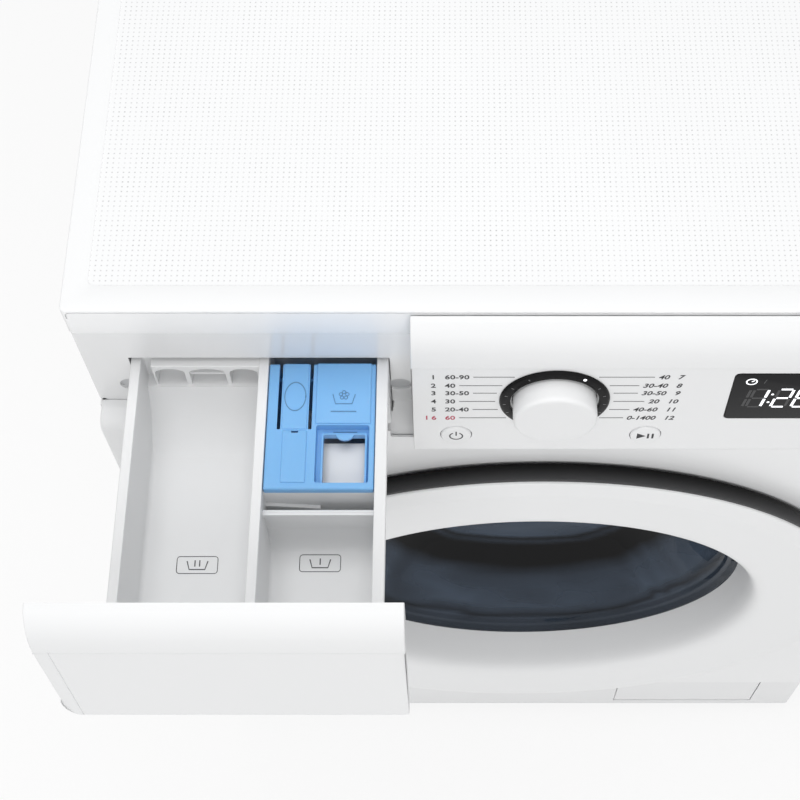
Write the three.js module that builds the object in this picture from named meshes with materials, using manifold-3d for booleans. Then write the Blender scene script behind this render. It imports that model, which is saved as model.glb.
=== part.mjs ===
// Front load washing machine, 600 mm wide and 850 mm tall, as an assembly of separate pieces.
// Millimetres, +X to the right of someone who faces the machine, +Z up, the door towards -Y.
// Inside this file Y = 0 is the front edge of the lid; the last line centres the assembly on its box.
// The detergent drawer stands open at its stop and the door is closed.

import * as THREE from 'three';
import { mergeVertices } from 'three/addons/utils/BufferGeometryUtils.js';
import Module from 'manifold-3d';

const wasm = await Module();
wasm.setup();

// ---------------------------------------------------------------- driving dimensions
const WIDTH = 600;
const HEIGHT = 850;
const LID_THICKNESS = 29;
const LID_DEPTH = 545;
const SHEET = 1.2; // steel sheet of the cabinet
const GAP = 0.3; // left between pieces that touch

const PANEL_FRONT = -16; // outer face of the front panel
const PANEL_SHEET = 1.6;
const PANEL_BACK = PANEL_FRONT + PANEL_SHEET + GAP;
const PANEL_TOP = 728;
const PANEL_ROUND = 14; // outer radius of the front panel's top edge
const SHEET_BEND = 4; // outer radius where the front sheets turn back
const FLOOR_TOP = 26.5; // upper face of the base tray
const KICK_FRONT = -6;
const KICK_TOP = 120.5;
const FRAME_FRONT = 2; // face behind the drawer front
const BACK_WALL = 541;

const FASCIA_BOTTOM = 706;
const FASCIA_SPLIT = -90; // X where the drawer front ends and the fixed fascia starts
const FACE_CENTRE = [0, -24, 769]; // a point of the sloping control face
const FACE_SLOPE = Math.atan2(8, 102); // the face leans back by this angle

const DRAWER_TRAVEL = 180; // how far the drawer stands open
const TRAY = { left: -269, right: -105, bottom: 724, top: 783, front: -13, back: 202 };
const TRAY_WALL = 2.6;
const HOUSING = { left: -270.2, right: -103.8, bottom: 719.5, top: 790, back: 222, wall: 3 };

const AXIS_Z = 404; // common axis of door, drum and tub
const DOOR_RADIUS = 265;
const DOOR_HOLE = 195;
const HINGE = { x: -260, y: -25.5, r: 4.5, pin: 2, inner: 44.2, outer: 65 };
const LATCH_X = 225;

const TUB = { outer: 262, inner: 256, front: 62, split: 205, back: 400, mouth: 186 };
const DRUM = { outer: 240, inner: 238.8, front: 77, back: 372, mouth: 185 };
const SHAFT_R = 14.7;
const SPRING = { x: 215, y: 300, low: 603, high: 780, coil: 14, wire: 2.2, turns: 6 };
const DAMPER = { x: 200, y: 250, bore: 12, wall: 4, top: 150 };

const PUMP = { x: 182, z: 64 };
const HATCH = { left: 109.5, right: 254.5, bottom: 22, top: 119.8 };
const FOOT = { x: 255, front: 35, back: 505, r: 22 };

const ROUND = 40; // facets of the door and gasket
const TUB_ROUND = 36; // facets of the tub and drum
const DEG = Math.PI / 180;

// ---------------------------------------------------------------- finishes
const finish = (color, roughness, metalness = 0) =>
  new THREE.MeshStandardMaterial({ color, roughness, metalness });

const enamel = finish(0xf4f5f5, 0.32);
const whitePlastic = finish(0xf1f2f2, 0.38);
const greyPlastic = finish(0xc9cbcd, 0.5);
const charcoal = finish(0x2f2f31, 0.4);
const blackGlass = finish(0x101216, 0.12);
const bluePlastic = finish(0x7fb4e2, 0.35);
const rubber = finish(0x8d9093, 0.75);
const blackRubber = finish(0x202122, 0.8);
const zinc = finish(0xb9bcbf, 0.45, 0.8);
const stainless = finish(0xc8cacc, 0.28, 1);
const springSteel = finish(0x8c8f93, 0.35, 1);
const tubPlastic = finish(0xd9dad6, 0.6);
const concrete = finish(0x9a9a96, 0.9);
const bowlGlass = finish(0x3c464f, 0.08);
const copperRed = finish(0x9c5a33, 0.5, 0.4);

// ---------------------------------------------------------------- geometry helpers

// A position-only copy with shared vertices, no empty triangles, and faces turned outwards.
function closed(geometry) {
  const bare = new THREE.BufferGeometry();
  bare.setAttribute('position', geometry.getAttribute('position').clone());
  if (geometry.index) bare.setIndex(geometry.index.clone());
  const merged = mergeVertices(bare, 1e-4);
  const index = merged.index.array;
  const p = merged.getAttribute('position').array;
  const kept = [];
  let volume = 0;
  for (let i = 0; i < index.length; i += 3) {
    const [a, b, c] = [index[i], index[i + 1], index[i + 2]];
    if (a === b || b === c || a === c) continue;
    kept.push(a, b, c);
    const u = new THREE.Vector3().fromArray(p, 3 * a);
    const v = new THREE.Vector3().fromArray(p, 3 * b);
    const w = new THREE.Vector3().fromArray(p, 3 * c);
    volume += u.dot(v.cross(w));
  }
  if (volume < 0) kept.reverse();
  merged.setIndex(kept);
  return merged;
}

function solidOf(geometry) {
  const body = closed(geometry);
  return new wasm.Manifold(new wasm.Mesh({
    numProp: 3,
    vertProperties: new Float32Array(body.getAttribute('position').array),
    triVerts: new Uint32Array(body.index.array),
  }));
}

function geometryOf(solid) {
  const mesh = solid.getMesh();
  const geometry = new THREE.BufferGeometry();
  geometry.setAttribute('position', new THREE.BufferAttribute(new Float32Array(mesh.vertProperties), 3));
  geometry.setIndex(new THREE.BufferAttribute(new Uint32Array(mesh.triVerts), 1));
  return geometry;
}

const join = (first, ...others) =>
  geometryOf(others.reduce((sum, other) => sum.add(solidOf(other)), solidOf(first)));
const cut = (first, ...tools) =>
  geometryOf(tools.reduce((rest, tool) => rest.subtract(solidOf(tool)), solidOf(first)));

// Outlines: lists of 2-D points.
const at = (x, y) => new THREE.Vector2(x, y);
const points = (pairs) => pairs.map(([x, y]) => at(x, y));
const arc = (x, y, r, from, to, steps) => Array.from({ length: steps + 1 }, (_, i) => {
  const angle = (from + ((to - from) * i) / steps) * DEG;
  return at(x + r * Math.cos(angle), y + r * Math.sin(angle));
});
const circle = (x, y, r, steps) => arc(x, y, r, 0, 360 - 360 / steps, steps - 1);
const roundedRect = (x0, x1, y0, y1, r, steps = 3) => [
  ...arc(x1 - r, y0 + r, r, -90, 0, steps), ...arc(x1 - r, y1 - r, r, 0, 90, steps),
  ...arc(x0 + r, y1 - r, r, 90, 180, steps), ...arc(x0 + r, y0 + r, r, 180, 270, steps),
];
function shapeOf(outline, ...holes) {
  const shape = new THREE.Shape(outline);
  shape.holes = holes.map((hole) => new THREE.Path(hole));
  return shape;
}
const extrude = (shape, depth, bevel = 0) => new THREE.ExtrudeGeometry(shape, {
  depth: depth - 2 * bevel,
  bevelEnabled: bevel > 0,
  bevelThickness: bevel,
  bevelSize: bevel,
  bevelOffset: -bevel,
  bevelSegments: 2,
}).translate(0, 0, bevel);

// Solids placed by their faces.
const box = (x0, x1, y0, y1, z0, z1) => new THREE.BoxGeometry(x1 - x0, y1 - y0, z1 - z0)
  .translate((x0 + x1) / 2, (y0 + y1) / 2, (z0 + z1) / 2);
const rodX = (r, x0, x1, y, z, steps = 20) => new THREE.CylinderGeometry(r, r, x1 - x0, steps)
  .rotateZ(Math.PI / 2).translate((x0 + x1) / 2, y, z);
const rodY = (r, y0, y1, x, z, steps = 24) => new THREE.CylinderGeometry(r, r, y1 - y0, steps)
  .translate(x, (y0 + y1) / 2, z);
const rodZ = (r, z0, z1, x, y, steps = 20) => new THREE.CylinderGeometry(r, r, z1 - z0, steps)
  .rotateX(Math.PI / 2).translate(x, y, (z0 + z1) / 2);
const standing = (shape, y0, y1, bevel) => // an X-Z outline, carried along Y
  extrude(shape, y1 - y0, bevel).rotateX(Math.PI / 2).translate(0, y1, 0);
const lying = (shape, z0, z1, bevel) => // an X-Y outline, carried along Z
  extrude(shape, z1 - z0, bevel).translate(0, 0, z0);
const alongX = (shape, x0, x1) => // a Y-Z outline, carried along X
  extrude(shape, x1 - x0).applyMatrix4(new THREE.Matrix4().makeBasis(
    new THREE.Vector3(0, 1, 0), new THREE.Vector3(0, 0, 1), new THREE.Vector3(1, 0, 0),
  )).translate(x0, 0, 0);
const turned = (profile, steps = ROUND) => // [radius, y] pairs, turned about Y
  new THREE.LatheGeometry(points(profile), steps);
const turnedRing = (profile, steps = ROUND) => turned([...profile, profile[0]], steps);
const tube = (route, r, steps, sides = 8, bore = 0) => new THREE.ExtrudeGeometry(
  shapeOf(circle(0, 0, r, sides), ...(bore ? [circle(0, 0, bore, sides)] : [])),
  { steps, bevelEnabled: false, extrudePath: route },
);
const smooth = (route) =>
  new THREE.CatmullRomCurve3(route.map((p) => new THREE.Vector3(...p)), false, 'centripetal');

// A sheet bent back at both ends on a radius, as an X-Y outline: flat front, two side returns.
function bentSheet(half, front, returnTo, radius, thickness) {
  const inner = half - thickness;
  const bend = radius - thickness;
  return shapeOf([
    at(-half, returnTo), ...arc(-half + radius, front + radius, radius, 180, 270, 5),
    ...arc(half - radius, front + radius, radius, 270, 360, 5), at(half, returnTo),
    at(inner, returnTo), ...arc(half - radius, front + radius, bend, 360, 270, 5),
    ...arc(-half + radius, front + radius, bend, 270, 180, 5), at(-inner, returnTo),
  ]);
}

// ---------------------------------------------------------------- the assembly's groups
const machine = new THREE.Group();
const drawer = new THREE.Group(); // drawn at its open stop
drawer.position.y = -DRAWER_TRAVEL;
const face = new THREE.Group(); // local -Y is the outward normal of the control face
face.position.set(...FACE_CENTRE);
face.rotation.x = -FACE_SLOPE;
const core = new THREE.Group(); // door, drum and tub: local Y is their common axis
core.position.z = AXIS_Z;
machine.add(drawer, face, core);

function piece(parent, name, geometry, material) {
  const mesh = new THREE.Mesh(closed(geometry), material);
  mesh.name = name;
  parent.add(mesh);
}

// Turns a tool from the control face's own frame into the machine's frame.
const onFace = (geometry) => geometry.rotateX(-FACE_SLOPE).translate(...FACE_CENTRE);

// ---------------------------------------------------------------- cabinet
function cabinet() {
  const half = WIDTH / 2 - 0.5;
  const inner = half - SHEET;
  const wrap = lying(shapeOf(points([
    [-half, -1], [-283, -1], [-283, 1], [-inner, 1], [-inner, BACK_WALL],
    [inner, BACK_WALL], [inner, 1], [283, 1], [283, -1], [half, -1],
    [half, BACK_WALL + SHEET], [-half, BACK_WALL + SHEET],
  ])), 15, HEIGHT - LID_THICKNESS - GAP);
  const bracket = (side) => box(
    ...(side < 0 ? [-inner - 1, -205] : [205, inner + 1]), SPRING.y - 15, SPRING.y + 15, 783, 787,
  );
  const body = cut(
    join(wrap, bracket(-1), bracket(1)),
    box(-302, 302, -3, 9, PANEL_TOP - 2, 822),
    box(-200, 200, BACK_WALL - 5, BACK_WALL + 5, 120, 700),
    rodY(12, BACK_WALL - 5, BACK_WALL + 5, 190, 775),
    rodY(15, BACK_WALL - 5, BACK_WALL + 5, 262, 640),
    rodY(6, BACK_WALL - 5, BACK_WALL + 5, -240, 775),
  );
  piece(machine, 'cabinet_body', body, enamel);

  const coverY = BACK_WALL + SHEET + GAP;
  const plate = standing(shapeOf(roundedRect(-215, 215, 105, 715, 14), circle(0, AXIS_Z, 171, 32)),
    coverY, coverY + SHEET);
  const pan = turned([[0, coverY + 9.5], [150, coverY + 9.5], [172, coverY + 2], [172, coverY],
    [149, coverY + 7.5], [0, coverY + 7.5]], 32).translate(0, 0, AXIS_Z);
  piece(machine, 'rear_cover', join(plate, pan), zinc);

  piece(machine, 'lid', lying(shapeOf(roundedRect(-WIDTH / 2, WIDTH / 2, 0, LID_DEPTH, 4, 5)),
    HEIGHT - LID_THICKNESS, HEIGHT, 3), whitePlastic);

  const bend = { y: PANEL_FRONT + PANEL_ROUND, z: PANEL_TOP - PANEL_ROUND };
  const outerBend = arc(bend.y, bend.z, PANEL_ROUND, 180, 90, 5);
  const innerBend = arc(bend.y, bend.z, PANEL_ROUND - PANEL_SHEET, 90, 180, 5);
  const sheetEnd = WIDTH / 2 - 0.6;
  const front = join(
    lying(bentSheet(WIDTH / 2, PANEL_FRONT, -1.3, SHEET_BEND, PANEL_SHEET), KICK_TOP + 1.5, bend.z + 0.4),
    alongX(shapeOf([...outerBend, at(1.7, PANEL_TOP), at(1.7, PANEL_TOP - PANEL_SHEET), ...innerBend]),
      -sheetEnd, sheetEnd),
    ...[-sheetEnd, sheetEnd - PANEL_SHEET].map((x) => alongX(
      shapeOf([...outerBend, at(-1.3, PANEL_TOP), at(-1.3, bend.z)]), x, x + PANEL_SHEET)),
  );
  const slot = (low) => box(HINGE.x - 5, HINGE.x + 5, -20, -10, low, low + HINGE.outer - HINGE.inner + 1);
  piece(machine, 'front_panel', cut(
    front,
    rodY(DOOR_HOLE, -20, -10, 0, AXIS_Z, ROUND),
    box(-274, TRAY.right + 0.8, -20, 5, 716, PANEL_TOP + 5),
    box(TRAY.right, FASCIA_SPLIT + 2, -20, 5, 707, PANEL_TOP + 5),
    box(LATCH_X - 8, LATCH_X + 13, -20, -10, AXIS_Z - 12, AXIS_Z + 12),
    slot(AXIS_Z + HINGE.inner - 0.5),
    slot(AXIS_Z - HINGE.outer - 0.5),
  ), enamel);

  const frameTop = HEIGHT - LID_THICKNESS - 0.7;
  // A block of the frame whose upper face slopes down to the back of the front panel.
  const filler = ([x0, x1], back, top) => alongX(shapeOf(points(
    [[back, top], [-13.6, 706], [-13.6, 696], [FRAME_FRONT + 3, 696], [FRAME_FRONT + 3, top]])), x0, x1);
  const frame = join(
    lying(bentSheet(296.5, FRAME_FRONT, 30, SHEET_BEND, 3), PANEL_TOP - 2, frameTop),
    box(-299.4, 299.4, FRAME_FRONT, FRAME_FRONT + 3, PANEL_TOP + 2, frameTop),
    filler([HOUSING.right + 0.4, FASCIA_SPLIT + 1.6], FRAME_FRONT, PANEL_TOP - 1),
    filler([HOUSING.right - 8, HOUSING.right + 0.6], -1.3, PANEL_TOP - 5.6),
  );
  piece(machine, 'panel_frame', cut(
    frame,
    box(HOUSING.left, HOUSING.right, -2, 8, 715, 787),
    rodY(3, -2, 8, -274.4, 750, 16),
    rodY(3, -2, 8, -98.5, 750, 16),
  ), whitePlastic);

  const kick = lying(bentSheet(298, KICK_FRONT, -1.3, SHEET_BEND, 3), 8, KICK_TOP);
  piece(machine, 'kick_plate', cut(
    kick,
    box(HATCH.left - 1, HATCH.right + 1, KICK_FRONT - 4, 2, HATCH.bottom - 2, KICK_TOP + 1),
  ), whitePlastic);

  const floor = lying(shapeOf(roundedRect(-297.2, 297.2, 1.3, 540.7, 4, 1),
    roundedRect(-150, 150, 130, 470, 10, 2)), FLOOR_TOP - 2.5, FLOOR_TOP);
  const rim = lying(shapeOf(roundedRect(-297.2, 297.2, 1.3, 540.7, 4, 1),
    roundedRect(-294.7, 294.7, 3.8, 538.2, 3, 1)), FLOOR_TOP - 2.5, 58);
  const stems = [-1, 1].flatMap((side) => [FOOT.front, FOOT.back]
    .map((y) => rodZ(5.6, 20, 32, side * FOOT.x, y, 16)));
  const access = box(HATCH.left + 4, HATCH.right - 4, 0, 6, 30, 62);
  piece(machine, 'base_frame', cut(join(floor, rim), access, ...stems), zinc);

  for (const [name, side, y] of [['foot_front_left', -1, FOOT.front], ['foot_front_right', 1, FOOT.front],
    ['foot_rear_left', -1, FOOT.back], ['foot_rear_right', 1, FOOT.back]]) {
    const foot = turned([[0, 0], [FOOT.r, 0], [FOOT.r, 6], [15, 11], [5, 13], [5, 60], [0, 60]], 12)
      .rotateX(Math.PI / 2).translate(side * FOOT.x, y, 0);
    piece(machine, name, foot, blackRubber);
  }
}

// ---------------------------------------------------------------- control panel
// The Y-Z section that the fixed fascia and the drawer front share, outer line then inner line.
const FASCIA_OUTER = [[-1.2, 846], [-6, 844.6], [-12, 838.5], [-16.4, 831], [-19, 823], [-20.4, 815], [-28, 718],
  [-28, 713.5], [-25.6, 709], [-21, 706.5], [-16.6, FASCIA_BOTTOM]];
const FASCIA_INNER = [[-16.6, 709], [-20.5, 709.6], [-23.5, 712], [-24.9, 716], [-25, 718.3],
  [-17, 820.3], [-14.3, 828], [-9.6, 836], [-4.5, 841.7], [-1.2, 843]];
const fasciaShell = () => shapeOf(points([...FASCIA_OUTER, ...FASCIA_INNER]));
const fasciaEnd = (back) => shapeOf(points([...FASCIA_OUTER, [-16.6, 746.3], [back, 746.3],
  [back, 820], [-1.2, 820.3]]));

const KNOB_Z = 778;
const BUTTON_Z = 734;
const BUTTON_X = 62;
const DISPLAY = { left: 110, right: 285, low: 755, high: 809 };
const faceZ = (z) => (z - FACE_CENTRE[2]) / Math.cos(FACE_SLOPE);

function controls() {
  const shell = join(
    alongX(fasciaShell(), FASCIA_SPLIT, WIDTH / 2),
    alongX(fasciaEnd(1.7), FASCIA_SPLIT, FASCIA_SPLIT + 2.5),
    alongX(fasciaEnd(1.7), WIDTH / 2 - 2.5, WIDTH / 2),
  );
  const window = (grow) => standing(shapeOf(roundedRect(
    DISPLAY.left - grow, DISPLAY.right + grow,
    faceZ(DISPLAY.low) - grow, faceZ(DISPLAY.high) + grow, 4,
  )), -0.3 - 8 * grow, 2.7 + 8 * grow);
  piece(machine, 'control_panel', cut(
    shell,
    onFace(rodY(27.2, -6, 8, 0, faceZ(KNOB_Z), 40)),
    onFace(rodY(10.5, -6, 8, -BUTTON_X, faceZ(BUTTON_Z), 24)),
    onFace(rodY(10.5, -6, 8, BUTTON_X, faceZ(BUTTON_Z), 24)),
    onFace(window(0.4)),
  ), whitePlastic);

  piece(face, 'display_window', window(0), blackGlass);
  piece(face, 'dial_ring', turnedRing([[28, -0.3], [35, -0.3], [34, -2], [28.6, -2.6]], 48)
    .translate(0, 0, faceZ(KNOB_Z)), charcoal);
  piece(face, 'program_knob', turned([[0, -17], [24.6, -17], [26.5, -15.2], [26.5, 3], [24, 3],
    [24, -14], [5, -14], [5, 13.6], [0, 13.6]], 32).translate(0, 0, faceZ(KNOB_Z)), whitePlastic);
  for (const [name, x] of [['power_button', -BUTTON_X], ['start_button', BUTTON_X]]) {
    piece(face, name, turned([[0, -2.4], [8.8, -2.4], [10, -1.4], [10, 6.9], [0, 6.9]], 24)
      .translate(x, 0, faceZ(BUTTON_Z)), whitePlastic);
  }
  const board = join(
    box(-80, 290, 14, 15.6, -21, 42),
    box(-80, 80, 8.6, 15.6, -22, -20),
    box(-80, 80, 8.6, 9.4, -42, -20),
    box(DISPLAY.left + 4, DISPLAY.right - 4, 3.2, 14.5, faceZ(DISPLAY.low) + 4, faceZ(DISPLAY.high) - 4),
  );
  piece(face, 'control_board', board, charcoal);
}

// ---------------------------------------------------------------- detergent drawer and its housing
const DIVIDER = { left: -186.2, right: -181 }; // wall between the two compartments
const INSERT = { left: -180.4, right: -112.8, front: 93, back: 179.7, bottom: 727, top: 784.5 };

function dispenser() {
  const outer = box(TRAY.left, TRAY.right, TRAY.front, TRAY.back, TRAY.bottom, TRAY.top);
  const floorZ = TRAY.bottom + TRAY_WALL;
  const leftRoom = box(TRAY.left + 5, DIVIDER.left, TRAY.front + 4, TRAY.back - 24, floorZ, TRAY.top + 5);
  const rightRoom = box(DIVIDER.right, TRAY.right - 7.4, TRAY.front + 4, TRAY.back - 8, floorZ,
    TRAY.top + 5);
  const sideRelief = box(TRAY.right - 4.6, TRAY.right + 1, TRAY.front + 6, TRAY.back - 28,
    TRAY.bottom - 1, TRAY.top - 8);
  const drain = box(-250, -200, TRAY.back - 60, TRAY.back - 40, TRAY.bottom - 2, floorZ + 1);
  const tray = cut(outer, leftRoom, rightRoom, sideRelief, drain);
  const crossWall = box(DIVIDER.right - 1, TRAY.right - 6, 82, 82 + TRAY_WALL, TRAY.bottom + 1, 772);
  piece(drawer, 'drawer_tray', join(tray, crossWall), whitePlastic);

  const cap = { x: 16, z: 34 }; // how far the rounded lower corner reaches along and up the end
  const endX = -WIDTH / 2 + cap.x;
  const endZ = FASCIA_BOTTOM + cap.z;
  const front = join(
    alongX(fasciaShell(), -WIDTH / 2, FASCIA_SPLIT - 1),
    alongX(fasciaEnd(-13.6), -WIDTH / 2, endX),
    alongX(fasciaEnd(-13.6), FASCIA_SPLIT - 3.5, FASCIA_SPLIT - 1),
    box(-296, FASCIA_SPLIT - 3, -16.2, -13.4, 746.3, 825),
    box(-255, -120, -25, -13.4, 748, 752),
  );
  const grip = rodX(10, -228, -150, -29, FASCIA_BOTTOM - 1, 16);
  const corner = standing(shapeOf([
    at(endX - cap.x - 1, FASCIA_BOTTOM - 1), at(endX, FASCIA_BOTTOM - 1),
    ...arc(0, 0, 1, 270, 180, 6).map((p) => at(endX + cap.x * p.x, endZ + cap.z * p.y)),
    at(endX - cap.x - 1, endZ),
  ]), -40, -10);
  piece(drawer, 'drawer_front', cut(front, grip, corner), whitePlastic);

  const { left, right, bottom, top, front: near, back } = INSERT;
  const block = box(left, right, near, back, bottom, top);
  piece(drawer, 'softener_insert', cut(
    block,
    box(left + 3, left + 34, near + 3, back - 3, bottom - 1, top - 12),
    box(left + 37, right - 3, near + 3, back - 3, bottom - 1, top - 10),
    box(right - 32, right - 5, near + 4.5, near + 35, top - 20, top + 2),
    box(left + 6.5, left + 8.8, back - 46, back + 1, top - 20, top + 2),
    box(left + 26, left + 28.3, back - 46, back + 1, top - 20, top + 2),
  ), bluePlastic);

  const { wall } = HOUSING;
  const y0 = FRAME_FRONT + 3 + GAP;
  const shell = box(HOUSING.left - wall, HOUSING.right + wall, y0, HOUSING.back + wall,
    HOUSING.bottom - wall, HOUSING.top + wall);
  const spout = rodZ(12.5, 680, HOUSING.bottom - 1, -187, 150);
  const nozzle = rodY(5, HOUSING.back + 1, HOUSING.back + 22, -187, 782, 12);
  piece(machine, 'dispenser_housing', cut(
    join(shell, spout, nozzle),
    box(HOUSING.left, HOUSING.right, y0 - 1, HOUSING.back, HOUSING.bottom, HOUSING.top),
    rodZ(9.5, 670, HOUSING.bottom + 1, -187, 150),
  ), greyPlastic);
}

// ---------------------------------------------------------------- water path
function waterPath() {
  const valve = join(
    box(165, 215, 498, BACK_WALL - GAP, 755, 795),
    rodY(10.5, BACK_WALL - 5, BACK_WALL + 19, 190, 775, 20),
    rodZ(11, 790, 812, 178, 515, 16),
    rodY(5, 486, 499, 178, 770, 12),
  );
  piece(machine, 'inlet_valve', valve, whitePlastic);
  piece(machine, 'fill_hose', tube(smooth([[178, 485.6, 770], [178, 462, 770], [150, 430, 778],
    [-20, 380, 800], [-140, 330, 797], [-187, 290, 784], [-187, 245, 782]]), 6, 18, 6), rubber);

  const pump = join(
    rodY(28, 13, 95, PUMP.x, PUMP.z, 24),
    rodY(23, 94, 150, PUMP.x, PUMP.z, 16),
    rodX(14, 146, 165, 70, PUMP.z + 4, 16),
    rodX(9, 200, 224, 80, PUMP.z + 6, 16),
    box(165, 199, 30, 90, FLOOR_TOP + GAP, 45),
  );
  piece(machine, 'drain_pump', cut(pump, rodY(24.6, 5, 66, PUMP.x, PUMP.z, 24)), greyPlastic);
  const filter = join(
    turned([[0, 6], [26.5, 6], [26.5, 12.7], [23.6, 12.7], [23.6, 24], [17, 24], [17, 60], [0, 60]], 24)
      .translate(PUMP.x, 0, PUMP.z),
    box(PUMP.x - 20, PUMP.x + 20, -1.5, 7, PUMP.z - 3.5, PUMP.z + 3.5),
  );
  piece(machine, 'pump_filter', filter, greyPlastic);
  const flap = standing(shapeOf(points([
    [HATCH.left, HATCH.bottom], [HATCH.right, HATCH.bottom], [HATCH.right, HATCH.top],
    [PUMP.x + 13, HATCH.top], [PUMP.x + 11, HATCH.top - 5], [PUMP.x - 11, HATCH.top - 5],
    [PUMP.x - 13, HATCH.top], [HATCH.left, HATCH.top],
  ])), KICK_FRONT, KICK_FRONT + 2.5);
  piece(machine, 'pump_hatch', flap, whitePlastic);

  piece(machine, 'sump_hose', tube(smooth([[100, 110, 144], [100, 110, 130], [100, 110, 115],
    [101, 106, 96], [106, 92, 78], [118, 76, 69.5], [130, 70, 68], [145.6, 70, 68]]),
  21, 10, 9, 18.4), blackRubber);
  const drainLine = smooth([[225.5, 80, 70], [235, 80, 70], [248, 86, 71], [268, 110, 76], [276, 200, 82],
    [276, 400, 90], [276, 485, 130], [276, 506, 220], [276, 508, 560], [270, 512, 615],
    [262, 534, 640], [262, 548, 640], [262, 562, 640]]);
  piece(machine, 'drain_hose', tube(drainLine, 11, 26, 6), greyPlastic);
  piece(machine, 'power_gland', turned([[0, BACK_WALL - 6], [5.5, BACK_WALL - 6], [5.5, BACK_WALL + 2.3],
    [11, BACK_WALL + 2.3], [11, BACK_WALL + 6], [6, BACK_WALL + 18], [0, BACK_WALL + 18]], 20)
    .translate(-240, 0, 775), blackRubber);
}

// ---------------------------------------------------------------- door (closed), about the common axis
function door() {
  const notch = (y0, y1) => box(-275, HINGE.x + 8, y0, y1, -HINGE.outer - 2, HINGE.outer + 2);
  const grip = box(240, 275, -31, -10, -55, 55);
  piece(core, 'door_outer_frame', turnedRing([[262, -32.4], [258, -35], [250, -36], [215, -36],
    [196, -35.4], [190, -33], [184, -15], [177, 3.4], [182, 3.4], [188, -14], [193.5, -29],
    [200, -31.5], [262, -31.6]]), whitePlastic);
  piece(core, 'door_trim_band', cut(
    turnedRing([[257.4, -31.2], [DOOR_RADIUS, -31.2], [DOOR_RADIUS, -18], [257.4, -18]]),
    notch(-40, 0),
    grip,
  ), charcoal);

  const back = turnedRing([[191.4, -20.6], [254, -20.6], [254, -31], [256.8, -31], [256.8, -18],
    [191.4, -18]]);
  const clampRing = turnedRing([[187.9, -12], [191.8, -19], [193, -19], [190.5, -13], [190.5, 12], [178, 12],
    [178, 9.2], [186, 9.2], [186, 3]]);
  const knuckle = join(
    rodZ(HINGE.r, -HINGE.inner, HINGE.inner, HINGE.x, HINGE.y, 16),
    box(HINGE.x, -236, HINGE.y - 4, HINGE.y + 3.5, -38, 38),
    box(-240, -236, HINGE.y - 4, -18.5, -38, 38),
  );
  piece(core, 'door_inner_frame', cut(
    join(cut(join(back, clampRing), notch(-40, 0), grip), knuckle),
    rodZ(HINGE.pin + GAP, -HINGE.inner - 2, HINGE.inner + 2, HINGE.x, HINGE.y, 16),
    box(LATCH_X - 7, LATCH_X + 13, -22, -15, -12, 12),
  ), greyPlastic);

  piece(core, 'door_glass', turned([[0, 97], [80, 93], [118, 84], [140, 66], [155, 45], [169, 20],
    [176.5, 8.8], [183, 8.8], [183, 3.8], [176.8, 3.8], [164.5, 18], [151, 42], [136, 62],
    [115, 79.5], [78, 88], [0, 92]]), bowlGlass);

  const web = (z0) => join(
    rodZ(HINGE.r, z0, z0 + HINGE.outer - HINGE.inner - 0.4, HINGE.x, HINGE.y, 16),
    box(HINGE.x - 3.5, HINGE.x + 3.5, HINGE.y, -11, z0, z0 + HINGE.outer - HINGE.inner - 0.4),
  );
  piece(core, 'hinge_bracket', join(
    web(HINGE.inner + 0.4),
    web(-HINGE.outer),
    box(-286, -234, PANEL_BACK, PANEL_BACK + 2.8, -74, 74),
    rodZ(HINGE.pin, -HINGE.outer + 2, HINGE.outer - 2, HINGE.x, HINGE.y, 12),
  ), zinc);

  piece(core, 'latch_hook', lying(shapeOf(points([[LATCH_X - 4, -30], [LATCH_X + 4, -30],
    [LATCH_X + 4, -8], [LATCH_X + 10, -8], [LATCH_X + 10, -5], [LATCH_X + 4, 3], [LATCH_X - 4, 3]])),
  -8, 8), whitePlastic);
  piece(core, 'door_lock', cut(
    box(212, 250, PANEL_BACK, 16, -32, 32),
    box(LATCH_X - 9, LATCH_X + 14, -15, 9, -12.5, 12.5),
  ), charcoal);
}

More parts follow.
